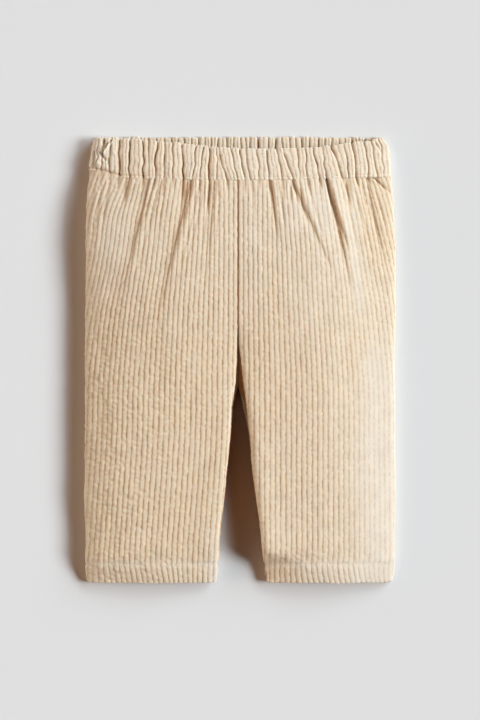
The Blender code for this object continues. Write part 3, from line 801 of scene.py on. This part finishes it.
def front_panel(side, materials):
    count = int((PANEL_TOP + HALF_LENGTH) / FRONT_ROW_STEP)
    heights = np.concatenate([
        -HALF_LENGTH + HEM_ROUND * (1 - np.cos(np.linspace(0, 0.5 * np.pi, 5)))[:-1],
        np.linspace(-HALF_LENGTH + HEM_ROUND, PANEL_TOP, count),
        [PANEL_TOP + 0.35, PANEL_TOP + 0.7],
    ])
    grid, places, ends = panel_grid(front_section, side, heights, FRONT_COLUMNS)
    up = upward(grid, side)
    y = np.broadcast_to(heights[:, None], places.shape)
    x, risen, high = np.moveaxis(grid, 2, 0)
    middle = eased(side * x, 30, 60) * faded(side * x, 95, 118)
    places = places - side * HEM_LEAN[side] * np.maximum(HEM_LINE - y, 0) * middle
    places = wandered(places, y, 3 if side > 0 else 5)
    bedded = np.clip(1.5 * ends, 0, 1)
    raised = front_pile(side, places, x, y) * ends - front_dents(x, y, risen) * bedded
    outer = grid + up * raised[:, :, None]
    seam = np.array([seam_height(row) for row in heights])[:, None]
    kept = np.maximum(bedded, eased(y, 0, 20) * (side * x < 60))
    fork = fork_depth(side, x, y)
    outer[:, :, 2] += filled(side, x, y) * eased(high, seam, seam + 3) * kept - fork
    scallop = 0.55 * np.abs(2 * (places / WALE_PITCH % 1) - 1) ** 3
    scallop = scallop + 0.35 * wobble(x / 6, 0, 83)
    outer[:, :, 1] += scallop * faded(y, -HALF_LENGTH, -HALF_LENGTH + 3)
    thick = CLOTH + 1.3 * eased(y, 95, 130) + fold_depth(x, risen)
    inner = grid - up * thick[:, :, None]
    inner[:, :, 2] -= fork
    inner[:, -1] = grid[:, -1] - (side * CLOTH, 0, 0)
    # The front's flat nap, painted light and painted shade, for its colour.
    nap = front_nap_painted_light_and_shade(side, grid, y)
    made = panel_wall("front_" + SIDES[side], outer, inner, places, y, nap, (4, 6), materials)
    line = int(np.argmin(np.abs(heights - HEM_LINE)))
    return made, stitch_path(outer[line], up[line], 11, 0.1)


def back_panel(side, materials):
    """The underside rests flat on the crests of its wales, so only the cuts between them show."""
    heights = np.linspace(-HALF_LENGTH, PANEL_TOP, int((PANEL_TOP + HALF_LENGTH) / BACK_ROW_STEP))
    grid, places, ends = panel_grid(back_section, side, heights, BACK_COLUMNS)
    up = upward(grid, side)
    y = np.broadcast_to(heights[:, None], places.shape)
    places = wandered(places, y, 41 if side > 0 else 43)
    away = 2 * np.abs(places / WALE_PITCH % 1 - 0.5)
    outer = grid + up * (BACK_CUT * away**7 * ends)[:, :, None]
    inner = grid + up * FLAT_CLOTH
    inner[:, -1] = grid[:, -1] - (side * FLAT_CLOTH, 0, 0)
    # Painted shade on the walls between the legs and at the centre seam.
    nap = -walls_between(side, grid, y)
    return panel_wall("back_" + SIDES[side], outer, inner, places, y, nap, (3, 5), materials)


def turn_up(side, section, name, inward, cloth, materials):
    """The cloth turned up inside a leg's hem, its plain back against the panel's."""
    heights = np.linspace(-HALF_LENGTH, -HALF_LENGTH + TURN_UP_DEPTH, TURN_UP_ROWS)
    grid, places, _ = panel_grid(section, side, heights, TURN_UP_COLUMNS)
    up = upward(grid, side)
    height = np.array([[seam_height(y) - inward * SEAM_GAP / 2] for y in heights])
    skins = []
    for depth in (cloth + SEAM_GAP, cloth + SEAM_GAP + TURN_UP_CLOTH):
        lined = grid + inward * up * depth
        lined[:, 0] = grid[:, 0] + (side * depth, 0, 0)
        lined[:, -1] = grid[:, -1] - (side * depth, 0, 0)
        reach = np.abs(lined[:, -1:, 0])
        lined[:, :, 0] = np.clip(lined[:, :, 0], -reach, reach)
        lined[0, :, 1] += HEM_STEP
        lined[:, :, 2] = inward * np.minimum(inward * lined[:, :, 2], inward * height)
        lined[:, [0, -1], 2] = height
        skins.append(lined)
    cut = np.stack([places, np.broadcast_to(heights[:, None], places.shape)], axis=2)
    return cloth_wall(f"{name}_{SIDES[side]}", *skins, cut, cut, materials)


# ------------------------------ the casing

CASING_COLUMNS = 840
FACE_ROWS = 42
ROLL_ROWS = 9
LINING_ROWS = 8
STITCH_RISE = 1.5  # of the stitch line above the casing's seam
GATHERED_WALE = 3.3  # the pitch of the wales where they are gathered


def arch_across(section, *dip):
    """A section right across the body at the casing's seam, from the wearer's right."""
    right, left = (section(side, CASING_Y, *dip) for side in (-1, 1))
    return np.concatenate([right[::-1] * (-1, 1), left])


def laid_along(arch, wanted):
    """Points at lengths along an arch, as x and height, and the way up from each."""
    arc = arc_lengths(arch)
    points, ahead, behind = (
        np.stack([np.interp(wanted + step, arc, arch[:, k]) for k in (0, 1)], axis=1)
        for step in (0, 0.5, -0.5)
    )
    along = ahead - behind
    up = np.stack([-along[:, 1], along[:, 0]], axis=1)
    return points, up / np.linalg.norm(up, axis=1)[:, None]


def length_at(arch, x):
    middle = np.abs(arch[:, 0]) < GATHERED_HALF_WIDTH + 2
    arc = arc_lengths(arch)
    return np.interp(x, arch[middle, 0], arc[middle])


def gathered(wanted, creases, depths, widths):
    """Dents across a gathered wall, and the place in the cut: one or two wales to each ridge."""
    k = np.clip(np.searchsorted(creases, wanted) - 1, 0, len(creases) - 2)
    width = np.maximum(creases[k + 1] - creases[k], 0.1)
    share = np.clip((wanted - creases[k]) / width, 0, 1)
    near = depths[k] * np.exp(-((share * width / widths[k]) ** 1.3))
    far = depths[k + 1] * np.exp(-(((1 - share) * width / widths[k + 1]) ** 1.3))
    puff = 0.5 * (1 - (2 * share - 1) ** 4) * np.minimum(width / 7, 1)
    return near + far - puff, share, k, near + far


def casing_laps(upper):
    """The casing's rows: the share of its rise, and how far the row has turned over its top."""
    laps = [(-0.024, 0), (-0.012, 0)] if upper else []
    laps += [(t, 0) for t in np.linspace(0, 1, FACE_ROWS)]
    laps += [(1, turn) for turn in np.linspace(0, np.pi, ROLL_ROWS)[1:-1]]
    return laps + [(t, np.pi) for t in np.linspace(1, 0, LINING_ROWS)]


def crease_runs(t, begins, stops):
    """The share of its depth that each crease has at a share t of the rise."""
    rising = np.where(begins > 0, eased(t, begins - 0.2, begins), 1)
    ending = faded(t, stops, stops + 0.2)
    at_edge = eased(t, begins - 0.2, begins) if t < 1 else 1
    return np.where(stops < 1, rising * ending, at_edge)


def creases_at(t, table, total, upper, seed):
    """Where the creases lie along the casing at a share t of its rise, and how deep they are."""
    at_seam, at_top, depths, begins, stops = table.T
    number = np.arange(len(table))
    bends = 0.5 * np.sin(3 * t + 2.3 * number) + 0.95 * wobble(3 * number, 4.5 * t, seed)
    places = mixed(at_seam, at_top, t) + bends * np.sin(np.pi * t)
    softer = 1.25 - 0.3 * eased(at_seam / total, 0.3, 0.55) if upper else 1.2
    uneven = 0.9 + 0.5 * wobble(3 * number, 3.5 * t, seed + 3)
    deep = softer * depths * crease_runs(t, begins, stops) * uneven
    return np.concatenate([[0], places, [total]]), np.concatenate([[0.2], deep, [0.2]])


def clear_of_ends(x, power):
    return 1 - np.minimum(towards_end(x, power), 1)


def casing_offset(t, turn, x, relief, upper):
    """How far out from its arch the casing's cloth lies."""
    inside = 0.5 * (1 - np.cos(turn))
    if not upper:
        return (CASING + relief - 0.35) * (1 - inside)
    fuller = bell(x + 112.5, 12) * clear_of_ends(x, 20)
    proud = CASING_PROUD * clear_of_ends(x, 8) + (1.8 + 2.4 * t) * fuller
    swell = CASING_SWELL * np.sin(np.pi * t) * clear_of_ends(x, 5)
    offset = proud * eased(t, -0.05, 0.2) + swell * (1 - inside) - inside * CASING
    return offset - 0.9 * eased(-t, 0, 0.024) + relief * np.cos(turn)


def casing_painted_light_and_shade(x, sunk, pinch, crumpled, upper):
    """Light and shade painted into the casing's colour: painted light makes it paler all over,
    most at the wearer's right end, and painted shade darkens its gathers, the pinch at its
    stitches and its crumples.
    """
    # Painted light.
    lies = (0.6 if upper else 0.5) + 0.5 * eased(-x, 88, 110) + 0.2 * bell(x - 14, 22)
    # Painted shade.
    deeper = 0.75 * sunk + 0.9 * pinch * eased(-x, 62, 84) + 0.3 * np.maximum(crumpled, 0)
    return np.clip(lies - deeper, -1, 1)


def tube_faces(rows, columns):
    """Faces of a grid whose first and last rows meet, with both of its ends closed."""
    number = np.arange(rows * columns).reshape(rows, columns)
    around = [number[0, :-1], number[-1, :-1], number[-1, 1:], number[0, 1:]]
    faces = grid_faces(rows, columns) + np.stack(around, axis=1).tolist()
    return faces + [number[:, 0].tolist(), number[:, -1].tolist()]


def casing_wall(name, arch, table, line, top, upper, seed, materials):
    """A gathered tube: out over its face, round its top edge and down its other face.

    upper is 1 where the face is the upper side and 0 where it lies below. table has a row for
    each crease: its place at the seam and at the top edge, its depth, and the rise it runs over.
    """
    total = arc_lengths(arch)[-1]
    wanted = np.linspace(0, total, CASING_COLUMNS)
    base, up = laid_along(arch, wanted)
    x = base[:, 0]
    low = line(x) + 0.02
    high = top(x)
    roll = 0.5 * CASING - 0.15
    wales = np.diff(np.concatenate([[0], 0.5 * (table[:, 0] + table[:, 1]), [total]]))
    wales = np.maximum(np.round(wales / GATHERED_WALE), 1)
    counted = np.concatenate([[0], np.cumsum(wales)])
    near_end = np.clip(np.minimum(wanted, total - wanted) / 4, 0, 1)
    wide = 0.8 + 0.4 * cell_value(np.arange(len(table) + 2), 5, seed)
    laps = casing_laps(upper)
    rows = []
    cuts = []
    casing_light_and_shade_rows = []
    for t, turn in laps:
        creases, deep = creases_at(t, table, total, upper, seed)
        dents, share, k, sunk = gathered(wanted, creases, deep, wide)
        height = low + (high - roll - low) * t
        cut = wandered((counted[k] + share * wales[k]) * WALE_PITCH, height, seed + 1)
        inside = 0.5 * (1 - np.cos(turn))
        lumps = wobble(wanted / 2.6, 5 * t, seed + 4) * np.sin(np.pi * min(t + 0.15, 1))
        pile = 0.68 * wale_height(cut, height, seed + 2)
        crumpled = crumple_depth(CRUMPLES if upper else BACK_CRUMPLES, x, height)
        pinch = bell(height - low - STITCH_RISE, 0.8) * (0.18 + eased(-x, 62, 84)) * (turn == 0)
        relief = (pile + (0.35 if upper else 0.6) * lumps - dents) * near_end
        relief = relief * mixed(1, 0.45, inside) - pinch - crumpled * (turn == 0)
        offset = casing_offset(t, turn, x, relief, upper)
        point = base * (1, 1 - CASING_SETTLES * t) + up * offset[:, None]
        near_top = eased(t, 0.7, 1) * mixed(1, 0.3, inside)
        uneven_top = 0.8 * cell_value(k, 3, seed) * (1 - (2 * share - 1) ** 2)
        notched = (0.75 * np.clip(sunk, 0, 1.6) - uneven_top) * near_top * near_end
        y = height - notched + (roll + 0.9 * relief) * np.sin(turn)
        tapers = np.where(x < 0, 0.026 * t + 0.008 * t**4, 0.01 * t + 0.034 * t**8)
        narrowed = point[:, 0] * (1 - tapers * towards_end(x, 8))
        rows.append(np.stack([narrowed, y, point[:, 1]], axis=1))
        cuts.append(np.stack([cut, y], axis=1))
        casing_light_and_shade_rows.append(casing_painted_light_and_shade(x, sunk, pinch, crumpled, upper))
    grid = np.array(rows)
    seam = np.array([[SEAM_HEIGHT * (1 - CASING_SETTLES * t)] for t, _ in laps])
    grid[:, [0, -1], 2] = seam + (0.5 if upper else -0.5) * SEAM_GAP
    grid[:, :, 2] = np.maximum(grid[:, :, 2], 0)
    faces = tube_faces(len(grid), CASING_COLUMNS)
    cut = np.array(cuts).reshape(-1, 2)
    made = finished(name, grid.reshape(-1, 3), faces, cut, len(faces), materials)
    # The casing's painted light and shade, for its colour.
    set_nap_painted_light_and_shade(made, *casing_light_and_shade_rows)
    line = int(np.argmin([abs(t * CASING_RISE - STITCH_RISE) + 9 * turn for t, turn in laps]))
    upright = np.stack([up[:, 0], 0 * up[:, 0], up[:, 1]], axis=1)
    return made, stitch_path(grid[line], upright, 5, 0.1)


def front_casing(materials):
    arch = arch_across(front_section, 0)
    x_top, x_seam, depth, _, low, high = np.array(FRONT_GATHERS).T
    table = np.stack([length_at(arch, x_seam), length_at(arch, x_top), depth, low, high], axis=1)
    return casing_wall("waistband_front", arch, table, seam_line, top_line, 1, 51, materials)


def back_casing(materials):
    arch = arch_across(back_section)
    x, depth = np.array(BACK_GATHERS).T
    depth = np.where(depth > 1.5, 1.15 * depth, 0.6 * depth)
    at = length_at(arch, x)
    table = np.stack([at, at, depth, np.zeros(len(x)), np.ones(len(x))], axis=1)
    return casing_wall(
        "waistband_back", arch, table, back_seam_line, back_top_line, 0, 61, materials
    )


# ------------------------------ sewing

STITCH_PITCH = 2.9
STITCH_LENGTH = 2.1
THREAD = 0.42
STITCH_SIDES = 6
STITCH_RINGS = 5


def stitch_line(name, path, normals, materials):
    """Short lengths of thread that lie along a path, each bedded at both ends."""
    arc = arc_lengths(path)
    rings = np.linspace(-0.5, 0.5, STITCH_RINGS)
    turns = np.arange(STITCH_SIDES) * 2 * np.pi / STITCH_SIDES
    round_ends = np.arange(STITCH_SIDES)
    points = []
    faces = []
    for middle in np.arange(STITCH_PITCH, arc[-1] - STITCH_PITCH, STITCH_PITCH):
        at = middle + rings * STITCH_LENGTH
        centre = np.stack([np.interp(at, arc, path[:, k]) for k in range(3)], axis=1)
        up = np.stack([np.interp(at, arc, normals[:, k]) for k in range(3)], axis=1)
        along = np.gradient(centre, axis=0)
        along /= np.linalg.norm(along, axis=1)[:, None]
        across = np.cross(along, up)
        centre = centre + up * (0.3 - 1.8 * rings**2)[:, None]
        start = len(points)
        for k in range(STITCH_RINGS):
            thick = 0.5 * THREAD * (1 - 1.6 * rings[k] ** 2)
            for turn in turns:
                out = np.cos(turn) * across[k] + np.sin(turn) * up[k]
                points.append(centre[k] + thick * out)
        for ring in start + np.arange(STITCH_RINGS - 1) * STITCH_SIDES:
            a, b = ring + round_ends, ring + np.roll(round_ends, -1)
            faces += np.stack([a, b, b + STITCH_SIDES, a + STITCH_SIDES], axis=1).tolist()
        faces.append((start + round_ends).tolist())
        faces.append((start + (STITCH_RINGS - 1) * STITCH_SIDES + round_ends).tolist())
    cut = np.array(points)[:, :2]
    return finished(name, points, faces, cut, len(faces), materials)


# ------------------------------ finish

CREST = (0.638, 0.545, 0.412)
# Painted shade in the cuts between the wales.
VALLEY = (0.445, 0.275, 0.138)
PALE = (0.648, 0.590, 0.500)  # where the nap is laid flat, and painted light where the cloth is made paler
PAINTED_SHADE = (0.36, 0.155, 0.045)  # painted shade: dark brown in the folds, creases and gathers, between the legs and at the seams
GROUND = (0.50, 0.34, 0.19)
THREAD_COLOUR = (0.78, 0.68, 0.54)
SOFT_COTTON = {
    "Roughness": 0.92,
    "Diffuse Roughness": 1,
    "Subsurface Weight": 0.3,
    "Subsurface Radius": (1, 0.6, 0.35),
    "Subsurface Scale": 0.8 * MM,
    "Specular IOR Level": 0.15,
    "Sheen Roughness": 0.45,
    "Sheen Tint": (1, 0.97, 0.92, 1),
}


def group(name, inputs, outputs):
    tree = bpy.data.node_groups.new(name, "ShaderNodeTree")
    for socket, kind, value in inputs:
        made = tree.interface.new_socket(name=socket, in_out="INPUT", socket_type=kind)
        if value is not None:
            made.default_value = value
    for socket, kind in outputs:
        tree.interface.new_socket(name=socket, in_out="OUTPUT", socket_type=kind)
    return tree, tree.nodes.new("NodeGroupInput"), tree.nodes.new("NodeGroupOutput")


def join(tree, node, inputs):
    """Sets a node's inputs to values, or joins them to sockets."""
    for socket, value in inputs.items():
        if hasattr(value, "is_linked"):
            tree.links.new(value, node.inputs[socket])
        else:
            node.inputs[socket].default_value = value


def placed(tree, kind, inputs, **settings):
    """A new node with its settings and inputs."""
    node = tree.nodes.new("ShaderNode" + kind)
    for name, value in settings.items():
        setattr(node, name, value)
    join(tree, node, inputs)
    return node


def math_node(tree, operation, first, second=None, clamp=False):
    inputs = {0: first} if second is None else {0: first, 1: second}
    return placed(tree, "Math", inputs, operation=operation, use_clamp=clamp).outputs[0]


def noise_node(tree, vector, detail):
    inputs = {"Vector": vector, "Scale": 1, "Detail": detail}
    return placed(tree, "TexNoise", inputs).outputs["Fac"]


def stretched(tree, vector, across, along):
    inputs = {"Vector": vector, "Scale": (across, along, 1)}
    return placed(tree, "Mapping", inputs).outputs["Vector"]


def mix_colour(tree, share, first, second, blend="MIX"):
    inputs = {0: share, 6: first, 7: second}
    return placed(tree, "Mix", inputs, data_type="RGBA", blend_type=blend).outputs[2]


def wale_group():
    """How far a point lies down in the cut between two wales, from its place in the cloth: the
    share of the shade painted into the cut.
    """
    tree, given, put = group(
        "wale_cut", [("Cut", "NodeSocketVector", None)], [("Depth", "NodeSocketFloat")]
    )
    across, along = placed(tree, "SeparateXYZ", {0: given.outputs["Cut"]}).outputs[:2]
    phase = math_node(tree, "DIVIDE", across, WALE_PITCH * MM)
    share = math_node(tree, "FRACT", phase)
    away = math_node(tree, "ABSOLUTE", math_node(tree, "SUBTRACT", share, 0.5))
    depth = math_node(tree, "POWER", math_node(tree, "MULTIPLY", away, 2), 3)
    valley = math_node(tree, "MULTIPLY", math_node(tree, "ROUND", phase), 7.3)
    cell = placed(tree, "CombineXYZ", {0: valley, 1: math_node(tree, "MULTIPLY", along, 260)})
    breaks = noise_node(tree, cell.outputs[0], 1)
    spread = {"Value": breaks, "From Min": 0.35, "From Max": 0.62, "To Min": 0.25}
    dashed = math_node(tree, "MULTIPLY", depth, placed(tree, "MapRange", spread).outputs[0])
    tree.links.new(dashed, put.inputs["Depth"])
    return tree


def nap_group():
    """Uneven colour of brushed cotton, and the fibres' relief."""
    tree, given, put = group(
        "cotton_nap",
        [
            ("Cut", "NodeSocketVector", None),
            ("Colour", "NodeSocketColor", (*CREST, 1)),
            ("Unevenness", "NodeSocketFloat", 0.10),
        ],
        [("Colour", "NodeSocketColor"), ("Fibres", "NodeSocketFloat")],
    )
    cut = given.outputs["Cut"]
    streaks = noise_node(tree, stretched(tree, cut, 1500, 420), 3)
    patches = noise_node(tree, stretched(tree, cut, 130, 90), 2)
    centred = math_node(tree, "SUBTRACT", math_node(tree, "ADD", streaks, patches), 1)
    swing = math_node(tree, "MULTIPLY", centred, given.outputs["Unevenness"])
    light = math_node(tree, "ADD", math_node(tree, "MULTIPLY", swing, 2), 1)
    shade = placed(tree, "CombineColor", {0: light, 1: light, 2: light}).outputs[0]
    coloured = mix_colour(tree, 1, given.outputs["Colour"], shade, "MULTIPLY")
    tree.links.new(coloured, put.inputs["Colour"])
    tree.links.new(streaks, put.inputs["Fibres"])
    return tree


def wale_colour_painted_light_and_shade(tree, place, wale):
    """The wales' colour with light and shade painted in: paler where the nap attribute is above 0,
    from flat nap and painted light; painted shade in the cuts, and dark brown where it is below 0.
    """
    lies = placed(tree, "Attribute", {}, attribute_name="nap").outputs["Fac"]
    flat = math_node(tree, "MULTIPLY", lies, 1, clamp=True)
    # Painted shade: where the nap attribute is below 0, the wales' tops and cuts turn dark brown.
    shade_share = math_node(tree, "MULTIPLY", lies, -1, clamp=True)
    closed = math_node(tree, "SUBTRACT", 1, math_node(tree, "MULTIPLY", flat, 0.55))
    depth = placed(tree, "Group", {"Cut": place}, node_tree=wale).outputs["Depth"]
    # Paler partly from the nap laid flat and partly painted light.
    top = mix_colour(tree, flat, (*CREST, 1), (*PALE, 1))
    top = mix_colour(tree, math_node(tree, "POWER", shade_share, 1.5), top, (*PAINTED_SHADE, 1))
    low = mix_colour(tree, math_node(tree, "POWER", shade_share, 0.5), (*VALLEY, 1), (*PAINTED_SHADE, 1))
    # Painted shade in the cuts between the wales, weaker where the cloth is paler.
    return mix_colour(tree, math_node(tree, "MULTIPLY", depth, closed), top, low)


def cloth_material(name, colour, nap, relief, sheen, wale=None):
    """Brushed cotton, plain or, with the wales' group, corduroy."""
    material = bpy.data.materials.new(name)
    material.use_nodes = True
    tree = material.node_tree
    shader = tree.nodes["Principled BSDF"]
    for socket, value in SOFT_COTTON.items():
        shader.inputs[socket].default_value = value
    shader.inputs["Sheen Weight"].default_value = sheen
    place = placed(tree, "UVMap", {}, uv_map="cut").outputs[0]
    base = (*colour, 1) if wale is None else wale_colour_painted_light_and_shade(tree, place, wale)
    pile = placed(tree, "Group", {}, node_tree=nap)
    join(tree, pile, {"Cut": place, "Colour": base})
    height = {"Strength": relief, "Distance": 0.12 * MM, "Height": pile.outputs["Fibres"]}
    fibres = placed(tree, "Bump", height)
    tree.links.new(pile.outputs["Colour"], shader.inputs["Base Color"])
    tree.links.new(fibres.outputs["Normal"], shader.inputs["Normal"])
    return material


# ------------------------------ studio

FLOOR_COLOUR = (0.80, 0.80, 0.80)
FLOOR_REACH = 6  # metres
FLOOR_HEIGHT = -0.35  # just clear of the cloth
KEY_COLOUR = (4.73, 5.12, 5.43)
FLOOR_KEY_COLOUR = (4.57, 5.06, 5.34)
KEY_ELEVATION = 28.5
KEY_AZIMUTH = 15  # from +X towards +Y
KEY_SPREAD = 26
KEY_DISTANCE = 2.7
# The lamps on the floor alone: azimuth, elevation, spread, and share of the key's light
FLOOR_LAMPS = ((-2, 31.5, 20, 0.62), (22, 33, 24, 0.19), (45, 26, 30, 0.24))
# The soft lamps: colour, elevation, azimuth and spread
DOME = ((1.37, 1.32, 1.25), 90, 0, 110)  # from straight above, on the garment alone
SIDE = ((0.82, 0.75, 0.68), 25, 180, 60)  # from the wearer's right, on the garment alone
BOUNCE = ((0.57, 0.42, 0.30), 20, 180, 30)  # the same but lower, on the floor alone
FILL = (1.6, 1.1, 0.75)  # from the wearer's right
OVERHEAD = (0.042, 0.008, 0)
BACKDROP = (0.745, 0.745, 0.745)
FRAME_WIDTH = 374.4
CAMERA_HEIGHT = 2600
FOCUS_HEIGHT = 10
SENSOR_WIDTH = 24


def linked(name, pieces):
    made = bpy.data.collections.new(name)
    for piece in pieces:
        made.objects.link(piece)
    return made


def lamp(name, colour, elevation, azimuth, spread, lit, kind="SUN"):
    """A lamp that shines from the given side on the pieces of one collection."""
    light = bpy.data.lights.new(name, kind)
    light.energy = max(colour)
    light.color = [value / max(colour) for value in colour]
    made = put_in_scene(name, light)
    made.rotation_euler = (0, np.radians(90 - elevation), np.radians(azimuth))
    made.light_linking.receiver_collection = lit
    if kind == "SUN":
        light.angle = np.radians(spread)
    else:
        light.shape = "DISK"
        light.size = 2 * KEY_DISTANCE * np.tan(np.radians(0.5 * spread))
        light.energy *= np.pi * KEY_DISTANCE**2
        slope, turn = np.radians((elevation, azimuth))
        level = np.cos(slope)
        towards = (level * np.cos(turn), level * np.sin(turn), np.sin(slope))
        made.location = KEY_DISTANCE * np.array(towards)
    return made


def paper_floor():
    mesh = bpy.data.meshes.new("floor")
    far, low = FLOOR_REACH, FLOOR_HEIGHT * MM
    corners = [(-far, -far, low), (far, -far, low), (far, far, low), (-far, far, low)]
    mesh.from_pydata(corners, [], [(0, 1, 2, 3)])
    paper = bpy.data.materials.new("grey_paper")
    paper.use_nodes = True
    shader = paper.node_tree.nodes["Principled BSDF"]
    shader.inputs["Base Color"].default_value = (*FLOOR_COLOUR, 1)
    shader.inputs["Roughness"].default_value = 1
    shader.inputs["Specular IOR Level"].default_value = 0
    mesh.materials.append(paper)
    floor = put_in_scene("floor", mesh)
    return floor


def lights(pieces, floor):
    ground = linked("floor_lit", [floor])
    garment = linked("garment_lit", pieces)
    key_rise = np.sin(np.radians(KEY_ELEVATION))
    for number, (azimuth, elevation, spread, part) in enumerate(FLOOR_LAMPS):
        share = part * key_rise / np.sin(np.radians(elevation))
        colour = (share * np.array(FLOOR_KEY_COLOUR)).tolist()
        lamp(f"floor_lamp_{number}", colour, elevation, azimuth, spread, ground)
    lamp("key", KEY_COLOUR, KEY_ELEVATION, KEY_AZIMUTH, KEY_SPREAD, garment, "AREA")
    lamp("dome", *DOME, garment)
    lamp("side", *SIDE, garment)
    bounce = lamp("bounce", *BOUNCE, ground)
    right_leg = [piece for piece in pieces if "right" in piece.name]
    bounce.light_linking.blocker_collection = linked("bounce_stopped", right_leg)


def surroundings():
    """Soft light from the wearer's right, with a plain backdrop where the camera sees past."""
    world = bpy.data.worlds.new("studio")
    bpy.context.scene.world = world
    world.use_nodes = True
    tree = world.node_tree
    tree.nodes.clear()
    place = placed(tree, "TexCoord", {}).outputs["Generated"]
    across = placed(tree, "SeparateXYZ", {0: place}).outputs[0]
    facing = math_node(tree, "MULTIPLY", across, -1, clamp=True)
    share = math_node(tree, "POWER", facing, 4)
    sky = mix_colour(tree, share, (*OVERHEAD, 1), (*FILL, 1))
    seen = placed(tree, "LightPath", {}).outputs["Is Camera Ray"]
    light = placed(tree, "Background", {"Color": mix_colour(tree, seen, sky, (*BACKDROP, 1))})
    placed(tree, "OutputWorld", {0: light.outputs[0]})


def camera():
    lens = bpy.data.cameras.new("camera")
    lens.sensor_fit = "HORIZONTAL"
    lens.sensor_width = SENSOR_WIDTH
    lens.lens = SENSOR_WIDTH * (CAMERA_HEIGHT - FOCUS_HEIGHT) / FRAME_WIDTH
    lens.clip_end = 50
    made = put_in_scene("camera", lens)
    made.location = (0, 0, CAMERA_HEIGHT * MM)
    bpy.context.scene.camera = made
    bpy.context.scene.view_settings.view_transform = "Standard"


# ------------------------------ the trousers


def main():
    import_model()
    nap = nap_group()
    corduroy = cloth_material("corduroy", CREST, nap, 0.6, 0.25, wale_group())
    ground = cloth_material("corduroy_inside", GROUND, nap, 0.4, 0.05)
    thread = cloth_material("cotton_thread", THREAD_COLOUR, nap, 0.3, 0.1)
    cloth = [corduroy, ground]

    pieces = []
    sewing = {}
    for side in (1, -1):
        front, line = front_panel(side, cloth)
        pieces.append(front)
        node = front.name.split(".")[0]
        sewing[node] = stitch_line(node + "_hem_stitches", *line, [thread])
        pieces.append(back_panel(side, cloth))
        pieces.append(turn_up(side, front_section, "hem_front", -1, CLOTH, [ground]))
        pieces.append(turn_up(side, back_section, "hem_back", 1, FLAT_CLOTH, [ground]))
    casing, line = front_casing([corduroy])
    pieces.append(casing)
    sewing["waistband_front"] = stitch_line("waistband_front_stitches", *line, [thread])
    pieces.append(back_casing([corduroy])[0])
    for piece in list(pieces):
        node = piece.name.split(".")[0]
        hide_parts(node)
        piece.name = node + "_cloth"
        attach(piece, "root")
        sewn = [sewing[node]] if node in sewing else []
        for stitches in sewn:
            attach(stitches, "root")
        pieces += sewn

    lights(pieces, paper_floor())
    surroundings()
    camera()


main()
